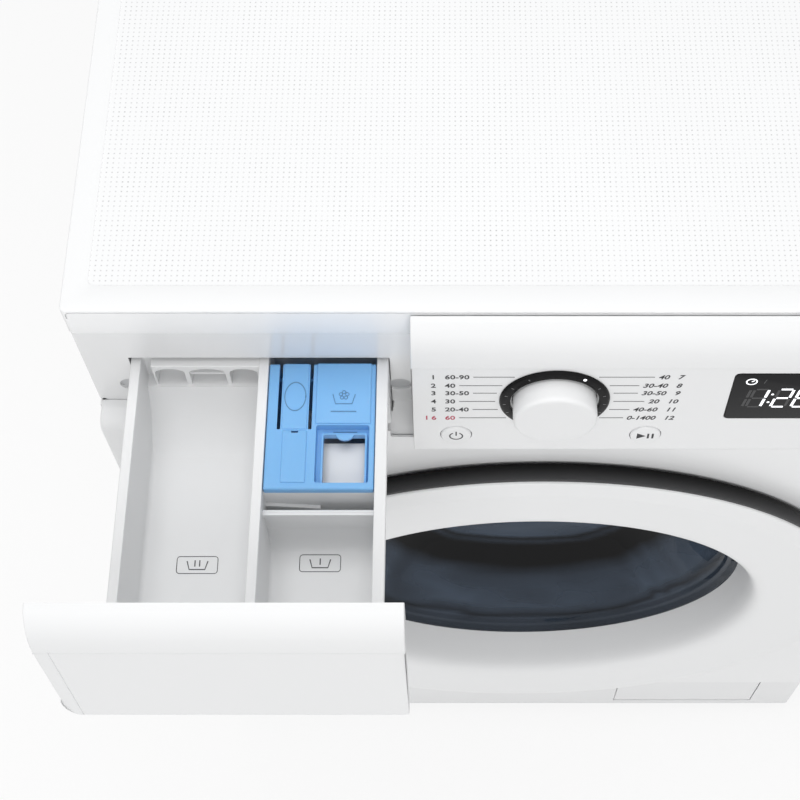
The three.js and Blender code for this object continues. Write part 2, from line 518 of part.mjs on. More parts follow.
// ---------------------------------------------------------------- tub, drum and drive
function tub() {
  piece(core, 'door_gasket', turnedRing([[194.4, PANEL_BACK], [205, PANEL_BACK], [205, -10.5], [197, -10.5],
    [197, 14], [193, 20], [192, 47], [188, 47], [189, 23], [173, 19], [173, 16.5], [193, 13],
    [193, -15.5], [194.4, -15.5]]), rubber);

  const frontHalf = turnedRing([[TUB.mouth, 50], [191, 50], [191, TUB.front], [TUB.outer, TUB.front],
    [TUB.outer, 195], [272, 195], [272, TUB.split], [TUB.inner, TUB.split], [TUB.inner, 66.5],
    [TUB.mouth, 66.5]], TUB_ROUND);
  const sump = rodZ(16.5, 124 - AXIS_Z, 172 - AXIS_Z, 100, 110, 16);
  const inlet = rodZ(15.5, 575 - AXIS_Z, 640 - AXIS_Z, -187, 150, 16);
  const hollow = turned([[0, 40], [TUB.inner, 66.5], [TUB.inner, 300], [0, 300]], TUB_ROUND);
  piece(core, 'tub_front', cut(
    join(frontHalf, cut(join(sump, inlet), hollow)),
    rodZ(13.5, 110 - AXIS_Z, 180 - AXIS_Z, 100, 110, 16),
    rodZ(12.5, 550 - AXIS_Z, 650 - AXIS_Z, -187, 150, 16),
  ), tubPlastic);
  piece(core, 'dispenser_hose', cut(
    rodZ(19.5, 614 - AXIS_Z, 704 - AXIS_Z, -187, 150),
    rodZ(15.9, 600 - AXIS_Z, 720 - AXIS_Z, -187, 150),
  ), blackRubber);

  const rearHalf = turnedRing([[272, TUB.split + 0.4], [272, 215], [TUB.outer, 215],
    [TUB.outer, TUB.back], [64, TUB.back], [48, TUB.back + 6], [48, 432], [31.3, 432], [31.3, 384],
    [46, 384], [60, 394], [TUB.inner, 394], [TUB.inner, TUB.split + 0.4]], TUB_ROUND);
  const lugs = [-1, 1].flatMap((side) => [
    box(...(side < 0 ? [-225, -205] : [205, 225]), SPRING.y - 8, SPRING.y + 8, 146, SPRING.low - 1 - AXIS_Z),
    box(...(side < 0 ? [-210, -190] : [190, 210]), DAMPER.y - 8, DAMPER.y + 8, -192, -172),
  ]);
  piece(core, 'tub_rear', cut(
    join(rearHalf, ...lugs),
    box(-36.5, 36.5, 390, 404, 152 - AXIS_Z, 160.5 - AXIS_Z),
  ), tubPlastic);

  const saddle = shapeOf([...arc(0, 0, 263.5, 112, 50, 9), at(169, 290), at(150, 328), at(-92, 328),
    at(-98.7, 318)]);
  piece(core, 'counterweight_upper', standing(saddle, 75, 190, 3), concrete);
  const crescent = shapeOf([...arc(0, 0, 256, 202, 338, 16), ...arc(0, 0, 199, 338, 202, 14)]);
  piece(core, 'counterweight_lower', standing(crescent, 28, 61.6, 3), concrete);

  const heaterZ = 156 - AXIS_Z;
  const loop = tube(smooth([[-32, 402, heaterZ], [-32, 250, heaterZ], [-32, 140, heaterZ],
    [-24, 112, heaterZ], [0, 101, heaterZ], [24, 112, heaterZ], [32, 140, heaterZ],
    [32, 250, heaterZ], [32, 402, heaterZ]]), 3.4, 20, 6);
  piece(core, 'heater', join(
    loop,
    box(-44, 44, 400.4, 404, 146 - AXIS_Z, 167 - AXIS_Z),
    rodY(3, 403, 418, -32, heaterZ, 10),
    rodY(3, 403, 418, 32, heaterZ, 10),
  ), stainless);

  piece(core, 'bearing_front', turnedRing([[15, 386], [31, 386], [31, 402], [15, 402]], 24), stainless);
  piece(core, 'bearing_rear', turnedRing([[15, 412], [31, 412], [31, 429], [15, 429]], 24), stainless);
  const teeth = 12;
  const toothed = Array.from({ length: teeth }, (_, i) => {
    const middle = (i * 360) / teeth;
    return [[104, -5], [127, -6.5], [127, 6.5], [104, 5]]
      .map(([r, a]) => at(r * Math.cos((middle + a) * DEG), r * Math.sin((middle + a) * DEG)));
  }).flat();
  piece(core, 'stator', join(
    standing(shapeOf(toothed, circle(0, 0, 76, 36)), 438, 458),
    turnedRing([[66, TUB.back + GAP], [77, TUB.back + GAP], [77, 458], [66, 458]], 36),
  ), copperRed);
}

function drum() {
  piece(core, 'drum', turned([[0, DRUM.back], [235, DRUM.back], [DRUM.outer, 367], [DRUM.outer, 83],
    [235, DRUM.front], [186, DRUM.front], [184, 78.6], [187, 78.3], [234.4, 78.3], [DRUM.inner, 84],
    [DRUM.inner, 366.5], [234.4, 370.8], [0, 370.8]], TUB_ROUND), stainless);
  for (let i = 0; i < 3; i += 1) {
    const section = shapeOf([...arc(0, 0, 237, 81, 99, 4), at(-13, 190), at(-8, 183), at(8, 183),
      at(13, 190)]);
    const lifter = standing(section, 96, 352, 2).rotateY((i * 360 * DEG) / 3);
    piece(core, `drum_lifter_${i + 1}`, lifter, greyPlastic);
  }
  const arm = (i) => standing(shapeOf(points([[-20, 20], [-11, 226], [11, 226], [20, 20]])),
    DRUM.back + 0.4, 382).rotateY((i * 360 * DEG) / 3);
  piece(core, 'drum_spider', join(
    turned([[0, DRUM.back + 0.4], [44, DRUM.back + 0.4], [40, 383.5], [SHAFT_R, 383.5], [SHAFT_R, 447],
      [12, 450], [12, 471], [22, 471], [22, 478], [12, 478], [12, 484], [0, 484]], 24),
    arm(0), arm(1), arm(2),
  ), stainless);
  piece(core, 'motor_rotor', turnedRing([[SHAFT_R + GAP, 451], [30, 451], [30, 461], [132, 461],
    [132, 436], [137, 436], [137, 466], [30, 466], [30, 470.5], [SHAFT_R + GAP, 470.5]], 28), zinc);
}

// ---------------------------------------------------------------- suspension
function suspension() {
  class Coil extends THREE.Curve {
    getPoint(t, target = new THREE.Vector3()) {
      const angle = t * SPRING.turns * 2 * Math.PI;
      return target.set(SPRING.coil * Math.cos(angle), SPRING.coil * Math.sin(angle),
        t * (SPRING.high - SPRING.low));
    }
  }
  for (const [name, side] of [['left', -1], ['right', 1]]) {
    const coil = tube(new Coil(), SPRING.wire, SPRING.turns * 8, 5);
    piece(machine, `tub_spring_${name}`, coil.translate(side * SPRING.x, SPRING.y, SPRING.low), springSteel);
    const { x, y, bore, wall, top } = DAMPER;
    const cylinder = turned([[0, FLOOR_TOP + GAP], [bore + wall, FLOOR_TOP + GAP], [bore + wall, top],
      [bore, top], [bore, 34], [0, 34]], 18).rotateX(Math.PI / 2).translate(side * x, y, 0);
    piece(machine, `damper_cylinder_${name}`, cylinder, charcoal);
    const rod = turned([[0, 62], [11, 62], [11, 76], [6, 78], [6, 200], [9, 204], [9, 211.6], [0, 211.6]], 14)
      .rotateX(Math.PI / 2).translate(side * x, y, 0);
    piece(machine, `damper_rod_${name}`, rod, zinc);
  }
}

cabinet();
controls();
dispenser();
waterPath();
door();
tub();
drum();
suspension();

const FRONT_MOST = -28 - DRAWER_TRAVEL;
const REAR_MOST = 562;
machine.position.y = -(FRONT_MOST + REAR_MOST) / 2;

export default machine;
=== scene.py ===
"""Front load washing machine: looks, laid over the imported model.

Sizes here are millimetres counted from the lid's front edge (Y), the middle of the machine (X)
and the ground (Z). shop() turns them into the model's own metres.
"""

import math

import bmesh
import bpy
import numpy as np
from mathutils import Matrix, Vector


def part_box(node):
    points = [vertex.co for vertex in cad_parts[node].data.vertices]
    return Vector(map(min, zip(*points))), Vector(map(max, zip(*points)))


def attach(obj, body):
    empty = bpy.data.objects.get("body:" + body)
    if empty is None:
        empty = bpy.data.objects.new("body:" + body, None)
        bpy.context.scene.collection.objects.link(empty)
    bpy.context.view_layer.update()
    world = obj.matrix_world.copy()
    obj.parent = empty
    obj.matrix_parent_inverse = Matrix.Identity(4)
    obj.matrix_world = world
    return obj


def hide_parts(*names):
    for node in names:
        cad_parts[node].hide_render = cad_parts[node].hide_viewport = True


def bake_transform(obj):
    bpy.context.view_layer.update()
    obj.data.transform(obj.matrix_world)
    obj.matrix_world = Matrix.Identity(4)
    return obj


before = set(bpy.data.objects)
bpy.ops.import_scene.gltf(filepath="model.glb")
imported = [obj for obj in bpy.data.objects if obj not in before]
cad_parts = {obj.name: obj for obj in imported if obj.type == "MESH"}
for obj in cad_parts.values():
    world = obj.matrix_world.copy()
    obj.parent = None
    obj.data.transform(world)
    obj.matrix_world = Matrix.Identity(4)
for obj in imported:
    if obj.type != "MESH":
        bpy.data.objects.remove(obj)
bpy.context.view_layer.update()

bl_info = {
    "name": "Front Load Washing Machine",
    "version": (1, 0, 0),
    "blender": (4, 5, 0),
    "location": "View3D > Sidebar > Washer",
    "description": "Builds a front load washing machine's finished surfaces on its packed model",
    "category": "Add Mesh",
}

# ------------------------------------------------------------------ places that pieces share
MM = 0.001  # in metres
LID_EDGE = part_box("lid")[0].y  # the model's Y at the lid's front edge
HALF_WIDTH, DEPTH, TOP = 300.0, 545.0, 850.0
AXIS_Z = 404.0
AXIS = (0, 0, AXIS_Z)  # of door, gasket and drum
PANEL_FRONT = -16.0  # outer face of the front sheet
PANEL_TOP, PANEL_ROUND = 728.0, 14.0
PANEL_LOW, KICK_TOP = 122.0, 120.5  # the joint between front sheet and kick plate
SCREW_SEATS = ((-274.4, 0, 750), (-98.5, 0, 750))  # in the frame behind the drawer
FASCIA_LEFT, FASCIA_RIGHT = -90.0, 300.0
WALL = 2.5  # end walls of the fascia
FASCIA_LOW, WALL_LOW, FRAME_TOP = 706.0, 746.3, 820.3
DRAWER_OUT = -180.0  # the drawer is modelled at its open stop
BACK_Y = 542.5  # outer face of the back sheet
FACE_Y, FACE_Z = -24.0, 769.0  # a point of the sloping control face
FACE_LEAN = math.atan2(8, 102)
KNOB_Z, BUTTON_Z, BUTTON_X = 778.0, 734.0, 62.0
DISPLAY = (110.0, 285.0, 755.0, 809.0)
MARK_LOW, MARK_THICK = 0.31, 0.05  # the display's marks, up from the control face
FASCIA_OUTER = [(-1.2, 846), (-6, 844.6), (-12, 838.5), (-16.4, 831), (-19, 823), (-20.4, 815),
                (-21.1, 806), (-27.2, 728), (-28, 718), (-28, 713.5), (-25.6, 709),
                (-21, 706.5), (-16.6, 706)]
FASCIA_INNER = [(-16.6, 709), (-20.5, 709.6), (-23.5, 712), (-24.9, 716), (-25, 718.3),
                (-17, 820.3), (-14.3, 828), (-9.6, 836), (-4.5, 841.7), (-1.2, 843)]
ROUND = 192  # facets of the door, gasket and drum


# ------------------------------------------------------------------ settings a user would change
class WasherSettings(bpy.types.PropertyGroup):
    """Sizes, colours and light of the washing machine."""

    enamel: bpy.props.FloatVectorProperty(
        name="Enamel", description="Colour of the painted steel", subtype="COLOR",
        default=(0.82, 0.825, 0.83), min=0, max=1)
    plastic: bpy.props.FloatVectorProperty(
        name="White plastic", description="Colour of the fascia, drawer and door ring",
        subtype="COLOR", default=(0.80, 0.805, 0.81), min=0, max=1)
    insert: bpy.props.FloatVectorProperty(
        name="Softener insert", description="Colour of the insert in the drawer",
        subtype="COLOR", default=(0.20, 0.46, 0.80), min=0, max=1)
    charcoal: bpy.props.FloatVectorProperty(
        name="Charcoal", description="Colour of the door's rim and the dial ring",
        subtype="COLOR", default=(0.008, 0.0078, 0.0082), min=0, max=1)
    bowl_tint: bpy.props.FloatVectorProperty(
        name="Bowl tint", description="Tint of the door's glass", subtype="COLOR",
        default=(0.10, 0.135, 0.19), min=0, max=1)
    ink: bpy.props.FloatVectorProperty(
        name="Ink", description="Colour of the printed numbers", subtype="COLOR",
        default=(0.022, 0.022, 0.025), min=0, max=1)
    warm_ink: bpy.props.FloatVectorProperty(
        name="Warm ink", description="Colour of the last program's number", subtype="COLOR",
        default=(0.45, 0.03, 0.08), min=0, max=1)
    pit_pitch: bpy.props.FloatProperty(
        name="Pit pitch", description="Distance between the lid's pits", default=0.00358,
        min=0.001, max=0.02, unit="LENGTH")
    pit_radius: bpy.props.FloatProperty(
        name="Pit radius", description="Radius of one pit in the lid", default=0.00055,
        min=0.0001, max=0.004, unit="LENGTH")
    side_margin: bpy.props.FloatProperty(
        name="Side margin", description="Plain border at the lid's sides", default=0.015,
        min=0.0, max=0.1, unit="LENGTH")
    front_margin: bpy.props.FloatProperty(
        name="Front margin", description="Plain border at the lid's front", default=0.0175,
        min=0.0, max=0.1, unit="LENGTH")
    key_light: bpy.props.FloatProperty(
        name="Key light", description="Power of the large lamp overhead", default=23.4,
        min=0.0, max=500.0, unit="POWER")
    sky_light: bpy.props.FloatProperty(
        name="Sky light", description="Strength of the even light all round", default=0.55,
        min=0.0, max=3.0)


def settings():
    """The values that the panel shows."""
    return bpy.context.scene.washer


# ------------------------------------------------------------------ surfaces
def shop(points):
    """Millimetres from the lid's front edge to metres in the model's frame."""
    placed = np.asarray(points, float) * MM
    placed[..., 1] += LID_EDGE
    return placed


def loft(grid, ring=True, loop=False, cap=True):
    """Rows of points joined by quads: S(i, j) is row i, point j. ring closes every row on itself,
    loop joins the last row to the first, and cap closes the two end rows with a flat face."""
    grid = np.asarray(grid, float)
    n, m = grid.shape[:2]
    i, j = np.meshgrid(np.arange(n if loop else n - 1), np.arange(m if ring else m - 1),
                       indexing="ij")
    after_i, after_j = (i + 1) % n, (j + 1) % m
    quads = np.stack([i * m + j, i * m + after_j, after_i * m + after_j, after_i * m + j], -1)
    faces = quads.reshape(-1, 4).tolist()
    if cap and not loop:
        faces += [list(range(m - 1, -1, -1)), list(range((n - 1) * m, n * m))]
    return grid.reshape(-1, 3), faces


def rounded(corners, steps=6, same_count=False):
    """An outline through corners (a, b, radius). Between the places where a rounding starts (A)
    and ends (B) the line is (1-t)^2 A + 2t(1-t) C + t^2 B about the corner C."""
    table = np.array(corners, float)
    corner, radius = table[:, :2], table[:, 2]
    back, on = np.roll(corner, 1, 0) - corner, np.roll(corner, -1, 0) - corner
    back_length, on_length = np.linalg.norm(back, axis=1), np.linalg.norm(on, axis=1)
    back, on = back / back_length[:, None], on / on_length[:, None]
    half = np.arccos(np.clip((back * on).sum(1), -0.99999, 0.99999)) / 2
    reach = np.minimum(radius / np.tan(half), 0.499 * np.minimum(back_length, on_length))[:, None]
    t = np.linspace(0, 1, steps + 1)[None, :, None]
    start, end = (corner + back * reach)[:, None], (corner + on * reach)[:, None]
    line = ((1 - t) ** 2 * start + 2 * t * (1 - t) * corner[:, None] + t ** 2 * end).reshape(-1, 2)
    if same_count:
        return line
    apart = np.linalg.norm(line - np.roll(line, 1, 0), axis=1) > 1e-6
    return line[apart]


def flowing(points, steps=5):
    """A smooth line through points: Catmull-Rom, P(t) from each point and its three neighbours."""
    p = np.asarray(points, float)
    p = np.vstack([2 * p[0] - p[1], p, 2 * p[-1] - p[-2]])
    t = np.linspace(0, 1, steps, endpoint=False)[None, :, None]
    a, b, c, d = (p[k:len(p) - 3 + k][:, None] for k in range(4))
    line = 0.5 * (2 * b + (c - a) * t + (2 * a - 5 * b + 4 * c - d) * t ** 2
                  + (3 * b - a - 3 * c + d) * t ** 3)
    return np.vstack([line.reshape(-1, p.shape[1]), p[-2]])


def stacked(a, b, along, axis):
    """Points from two coordinates across the named axis and one along it."""
    return np.stack({"X": (along, a, b), "Y": (a, along, b), "Z": (a, b, along)}[axis], -1)


def at_height(line, z):
    """A flat line of points lifted to one height."""
    return np.column_stack([line, np.full(len(line), z)])


def rectangle(a0, a1, b0, b1, radius):
    """A rectangle with rounded corners, always of the same number of points."""
    return rounded([(a0, b0, radius), (a1, b0, radius), (a1, b1, radius), (a0, b1, radius)],
                   same_count=True)


def turned(profile, steps=ROUND, centre=(0, 0, 0), axis="Y", closed=False):
    """A profile (radius, along) turned about an axis: (r cos v, along, r sin v) for Y."""
    profile = np.asarray(profile, float)
    angle = np.linspace(0, 2 * math.pi, steps, endpoint=False)[:, None]
    across, up = profile[:, 0] * np.cos(angle), profile[:, 0] * np.sin(angle)
    along = np.broadcast_to(profile[:, 1], across.shape)
    return loft(stacked(across, up, along, axis) + np.array(centre, float), ring=closed, loop=True)


def disc(radius, low, high, steps, centre=(0, 0, 0), axis="Y"):
    """A plain cylinder between two places along an axis."""
    return turned([(0, low), (radius, low), (radius, high), (0, high)], steps, centre, axis)


def prism(outline, low, high, axis):
    """A flat outline carried straight from low to high along one axis."""
    a, b = np.asarray(outline, float).T
    return loft([stacked(a, b, np.full_like(a, h), axis) for h in (low, high)])


def pillow(a0, a1, b0, b1, h0, h1, corner, low=0.0, high=0.0, axis="Z", steps=4, taper=0.0):
    """A rounded block: rounded rectangles stacked along h. At each end the rectangle draws in by
    r(1 - sin v) while h moves by r(1 - cos v); a negative high flares out instead, as the tool
    for a hollow with a soft rim. taper draws the low end in evenly."""
    v = np.linspace(0, math.pi / 2, steps + 1)
    bottom = np.stack([low * (1 - np.sin(v)), h0 + low * (1 - np.cos(v))], -1)
    top = np.stack([high * (1 - np.cos(v)), h1 - abs(high) * (1 - np.sin(v))], -1)
    if high < 0:
        top = np.vstack([top, [high, h1 + 8]])
    rows = []
    for inset, h in np.vstack([bottom, top]):
        inset = inset + taper * (h1 - h) / (h1 - h0)
        line = rectangle(a0 + inset, a1 - inset, b0 + inset, b1 - inset,
                         max(corner - max(inset, 0), 0.05))
        rows.append(stacked(line[:, 0], line[:, 1], np.full(len(line), h), axis))
    return loft(rows)


def tube(path, radius, sides=16):
    """A round section carried along a path; the section turns with the path's own direction."""
    path = np.asarray(path, float)
    along = np.gradient(path, axis=0)
    along /= np.linalg.norm(along, axis=1, keepdims=True)
    spread = np.ptp(path, axis=0)
    up = np.eye(3)[int(np.argmin(spread))]
    side = np.cross(along, up)
    side /= np.linalg.norm(side, axis=1, keepdims=True)
    top = np.cross(side, along)
    v = np.linspace(0, 2 * math.pi, sides, endpoint=False)
    radius = np.broadcast_to(np.asarray(radius, float), (len(path),))[:, None, None]
    return loft(path[:, None] + radius * (side[:, None] * np.cos(v)[None, :, None]
                                          + top[:, None] * np.sin(v)[None, :, None]))


def stroke(line, width, height=0.12, low=0.0):
    """A flat line of one width: each point is moved half the width to both sides."""
    line = np.asarray(line, float)
    closed = np.allclose(line[0], line[-1])
    along = np.gradient(line, axis=0)
    if closed:
        along[0] = along[-1] = line[1] - line[-2]
    along /= np.linalg.norm(along, axis=1, keepdims=True)
    side = np.stack([-along[:, 1], along[:, 0]], -1) * width / 2
    left, right = line + side, line - side
    rows = [at_height(p, h) for p, h in ((left, low), (right, low), (right, low + height),
                                         (left, low + height))]
    return loft(np.stack(rows, 1))


def in_scene(name, data):
    """A new object in the scene."""
    made = bpy.data.objects.new(name, data)
    bpy.context.scene.collection.objects.link(made)
    return made


def figures(text, height, u, v, align="LEFT", slant=0.0, thick=0.12):
    """Numbers as a flat closed mesh, height millimetres tall, that start or end at u. A capital is
    0.7 of the font's size."""
    curve = bpy.data.curves.new("figures", "FONT")
    curve.body, curve.align_x, curve.extrude, curve.shear = text, align, 0.5, slant
    curve.offset = 0.018
    curve.resolution_u = 3
    holder = in_scene("figures", curve)
    bpy.context.view_layer.update()
    mesh = bpy.data.meshes.new_from_object(
        holder.evaluated_get(bpy.context.evaluated_depsgraph_get()))
    verts = np.zeros(len(mesh.vertices) * 3)
    mesh.vertices.foreach_get("co", verts)
    verts = verts.reshape(-1, 3)
    faces = [list(p.vertices) for p in mesh.polygons]
    bpy.data.objects.remove(holder)
    bpy.data.curves.remove(curve)
    bpy.data.meshes.remove(mesh)
    scale = height / 0.7
    return np.column_stack([u + verts[:, 0] * scale, v + verts[:, 1] * scale,
                            (verts[:, 2] + 0.5) * thick]), faces


def on_face(part):
    """From the control face's own (across, up, out) to shop millimetres."""
    (u, v, h), faces = part[0].T, part[1]
    s, c = math.sin(FACE_LEAN), math.cos(FACE_LEAN)
    return np.column_stack([u, FACE_Y + v * s - h * c, FACE_Z + v * c + h * s]), faces


def face_v(z):
    """How far up the control face a height lies."""
    return (z - FACE_Z) / math.cos(FACE_LEAN)


def shifted(part, x=0.0, y=0.0, z=0.0):
    """A part moved by millimetres."""
    return part[0] + np.array([x, y, z]), part[1]


def box(x0, x1, y0, y1, z0, z1):
    """A sharp block between six planes."""
    return prism([(x0, y0), (x1, y0), (x1, y1), (x0, y1)], z0, z1, "Z")


def build(name, *parts):
    """One object from parts in shop millimetres, seams and poles merged, faces outward."""
    verts, faces, count = [], [], 0
    for points, quads in parts:
        verts.append(points)
        faces += [[k + count for k in quad] for quad in quads]
        count += len(points)
    mesh = bpy.data.meshes.new(name)
    mesh.from_pydata(shop(np.vstack(verts)).tolist(), [], faces)
    work = bmesh.new()
    work.from_mesh(mesh)
    bmesh.ops.remove_doubles(work, verts=work.verts, dist=1e-7)
    bmesh.ops.dissolve_degenerate(work, edges=work.edges, dist=1e-7)
    bmesh.ops.recalc_face_normals(work, faces=work.faces)
    work.to_mesh(mesh)
    work.free()
    return in_scene(name, mesh)


def combine(target, operation, parts):
    """Applies parts to a piece, one after the other, and keeps the result."""
    tools = [build("tool", part) for part in parts]
    for tool in tools:
        step = target.modifiers.new("step", "BOOLEAN")
        step.object, step.operation, step.solver = tool, operation, "EXACT"
    settle(target)
    for tool in tools:
        bpy.data.objects.remove(tool)
    return target


def cut(target, *parts):
    """Cuts parts from a piece."""
    return combine(target, "DIFFERENCE", parts)


def join(target, *parts):
    """Joins parts to a piece."""
    return combine(target, "UNION", parts)


def settle(target):
    """Replaces a piece's mesh by what its modifiers make of it."""
    bpy.context.view_layer.update()
    evaluated = target.evaluated_get(bpy.context.evaluated_depsgraph_get())
    mesh = bpy.data.meshes.new_from_object(evaluated)
    target.modifiers.clear()
    target.data = mesh
    return target


def soften(target, width, segments=2, angle=40):
    """Rounds a piece's sharp edges by a width in millimetres."""
    edge = target.modifiers.new("soft edges", "BEVEL")
    edge.width, edge.segments = width * MM, segments
    edge.limit_method, edge.angle_limit = "ANGLE", math.radians(angle)
    edge.use_clamp_overlap = True
    return settle(target)


def copied(name, node):
    """A new piece from a node of the model: doubles merged and flat faces joined."""
    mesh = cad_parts[node].data.copy()
    mesh.materials.clear()
    work = bmesh.new()
    work.from_mesh(mesh)
    bmesh.ops.remove_doubles(work, verts=work.verts, dist=2e-6)
    bmesh.ops.dissolve_limit(work, angle_limit=math.radians(0.5), verts=work.verts,
                             edges=work.edges)
    work.to_mesh(mesh)
    work.free()
    return in_scene(name, mesh)


def smooth(piece, angle):
    """Shades a piece smooth, with crisp edges past an angle in degrees."""
    mesh = piece.data
    mesh.polygons.foreach_set("use_smooth", np.ones(len(mesh.polygons), bool))
    mesh.set_sharp_from_angle(angle=math.radians(angle))
    return mesh


def keep(piece, body, slot, finish, *nodes, angle=32):
    """Finishes a piece: its shading and finish, the body that it rides on, its slot, which is not
    used, and the nodes that it stands for."""
    mesh = smooth(piece, angle)
    if finish and not mesh.materials:
        mesh.materials.append(material(finish))
    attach(piece, body)
    if nodes:
        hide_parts(*nodes)
    return piece


# ------------------------------------------------------------------ finishes
def feed(tree, socket, value):
    """Links a socket to another one, or gives it a plain value."""
    if isinstance(value, bpy.types.NodeSocket):
        tree.links.new(value, socket)
    else:
        socket.default_value = value


def math_node(tree, operation, *values):
    """One step of arithmetic on sockets and numbers."""
    node = tree.nodes.new("ShaderNodeMath")
    node.operation = operation
    for socket, value in zip(node.inputs, values):
        feed(tree, socket, value)
    return node.outputs[0]


def own_place(tree):
    """A point's place in the piece's own metres."""
    return tree.nodes.new("ShaderNodeTexCoord").outputs["Object"]


def axes_of(tree, place):
    """X, Y and Z of a place."""
    split = tree.nodes.new("ShaderNodeSeparateXYZ")
    tree.links.new(place, split.inputs[0])
    return split.outputs


def noise_node(tree, place, scale, detail, distortion=0.0, stretch=None):
    """Noise over a place; stretch scales the three axes apart first."""
    if stretch:
        squeeze = tree.nodes.new("ShaderNodeMapping")
        squeeze.inputs["Scale"].default_value = stretch
        tree.links.new(place, squeeze.inputs["Vector"])
        place = squeeze.outputs["Vector"]
    noise = tree.nodes.new("ShaderNodeTexNoise")
    for label, value in (("Vector", place), ("Scale", scale), ("Detail", detail),
                         ("Distortion", distortion)):
        feed(tree, noise.inputs[label], value)
    return noise.outputs["Fac"]


def colour_mix(tree, share, a, b, blend="MIX"):
    """Blends two colours, each a socket or three values, and gives the result to the finish."""
    mix = tree.nodes.new("ShaderNodeMix")
    mix.data_type, mix.blend_type = "RGBA", blend
    feed(tree, mix.inputs["Factor"], share)
    for label, colour in (("A", a), ("B", b)):
        plain = not isinstance(colour, bpy.types.NodeSocket)
        feed(tree, mix.inputs[label], (*colour, 1) if plain else colour)
    tree.links.new(mix.outputs["Result"], tree.nodes["Principled BSDF"].inputs["Base Color"])


def colour_so_far(tree):
    """The socket that the finish's colour comes from at this point."""
    return tree.nodes["Principled BSDF"].inputs["Base Color"].links[0].from_socket


def relief(tree, height, strength, distance, invert=False):
    """Lays a bump over the relief that the finish has so far."""
    normal = tree.nodes["Principled BSDF"].inputs["Normal"]
    bump = tree.nodes.new("ShaderNodeBump")
    bump.invert = invert
    bump.inputs["Strength"].default_value = strength
    bump.inputs["Distance"].default_value = distance
    tree.links.new(height, bump.inputs["Height"])
    for link in normal.links:
        tree.links.new(link.from_socket, bump.inputs["Normal"])
    tree.links.new(bump.outputs["Normal"], normal)


def scaled(colour, part):
    """A colour times a number."""
    return tuple(c * part for c in colour)


def group_of(name, inputs, outputs):
    """An empty shader node group with named numbers in and out, and its two ends."""
    tree = bpy.data.node_groups.new(name, "ShaderNodeTree")
    for label, value in inputs.items():
        socket = tree.interface.new_socket(label, in_out="INPUT", socket_type="NodeSocketFloat")
        socket.default_value = value
    for label in outputs:
        tree.interface.new_socket(label, in_out="OUTPUT", socket_type="NodeSocketFloat")
    return tree, tree.nodes.new("NodeGroupInput"), tree.nodes.new("NodeGroupOutput")


def moulded_group():
    """Fine grain and slow drift over a surface: Height for the bump, Drift for tone and gloss."""
    tree = bpy.data.node_groups.get("moulded surface")
    if tree:
        return tree
    tree, start, end = group_of("moulded surface", {"Grain Scale": 900.0, "Drift Scale": 6.0},
                                ("Height", "Drift"))
    place = own_place(tree)
    for label, scale, detail in (("Height", "Grain Scale", 3.0), ("Drift", "Drift Scale", 2.0)):
        noise = noise_node(tree, place, start.outputs[scale], detail)
        tree.links.new(noise, end.inputs[label])
    return tree


def pits_group():
    """A square grid of round pits: distance to the nearest grid point, as a soft mask."""
    tree = bpy.data.node_groups.get("pit grid")
    if tree:
        return tree
    tree, start, end = group_of("pit grid", {"Pitch": 0.0036, "Radius": 0.0006}, ("Pit", "Tone"))
    place = own_place(tree)
    axes = axes_of(tree, place)
    squares = []
    for axis in ("X", "Y"):
        cell = math_node(tree, "DIVIDE", axes[axis], start.outputs["Pitch"])
        part = math_node(tree, "FRACT", math_node(tree, "ADD", cell, 500.0))
        away = math_node(tree, "MULTIPLY", math_node(tree, "SUBTRACT", part, 0.5),
                         start.outputs["Pitch"])
        squares.append(math_node(tree, "MULTIPLY", away, away))
    distance = math_node(tree, "SQRT", math_node(tree, "ADD", *squares))
    share = math_node(tree, "DIVIDE", distance, start.outputs["Radius"])
    pit = tree.nodes.new("ShaderNodeMapRange")
    pit.interpolation_type = "SMOOTHSTEP"
    pit.inputs["From Min"].default_value = 1.35
    pit.inputs["From Max"].default_value = 0.45
    tree.links.new(share, pit.inputs["Value"])
    uneven = math_node(tree, "MULTIPLY_ADD", noise_node(tree, place, 90.0, 2.0), 1.6, -0.15)
    tree.links.new(pit.outputs[0], end.inputs["Pit"])
    tree.links.new(math_node(tree, "MULTIPLY", pit.outputs[0], uneven), end.inputs["Tone"])
    return tree


def surface(name, colour, rough, shade=0.96, spread=0.05, grain=900.0, bump=0.03, deep=0.0002,
            drift=6.0, **sockets):
    """A material whose colour, gloss and fine relief all come from the moulded surface group."""
    made = bpy.data.materials.new(name)
    made.use_nodes = True
    tree = made.node_tree
    shader = tree.nodes["Principled BSDF"]
    group = tree.nodes.new("ShaderNodeGroup")
    group.node_tree = moulded_group()
    group.inputs["Grain Scale"].default_value = grain
    group.inputs["Drift Scale"].default_value = drift
    colour_mix(tree, group.outputs["Drift"], scaled(colour, shade), colour)
    gloss = math_node(tree, "MULTIPLY_ADD", group.outputs["Drift"], 2 * spread, rough - spread)
    tree.links.new(gloss, shader.inputs["Roughness"])
    relief(tree, group.outputs["Height"], bump, deep)
    for label, value in sockets.items():
        shader.inputs[label.replace("_", " ")].default_value = value
    return made


def pitted(name, colour):
    """The lid's printed board: white with a square grid of small grey pits."""
    made = surface(name, colour, 0.42, bump=0.02)
    tree = made.node_tree
    pits = tree.nodes.new("ShaderNodeGroup")
    pits.node_tree = pits_group()
    pits.inputs["Pitch"].default_value = settings().pit_pitch
    pits.inputs["Radius"].default_value = settings().pit_radius
    colour_mix(tree, pits.outputs["Tone"], colour_so_far(tree), scaled(colour, 0.62))
    relief(tree, pits.outputs["Pit"], 0.35, 0.0004, invert=True)
    return made


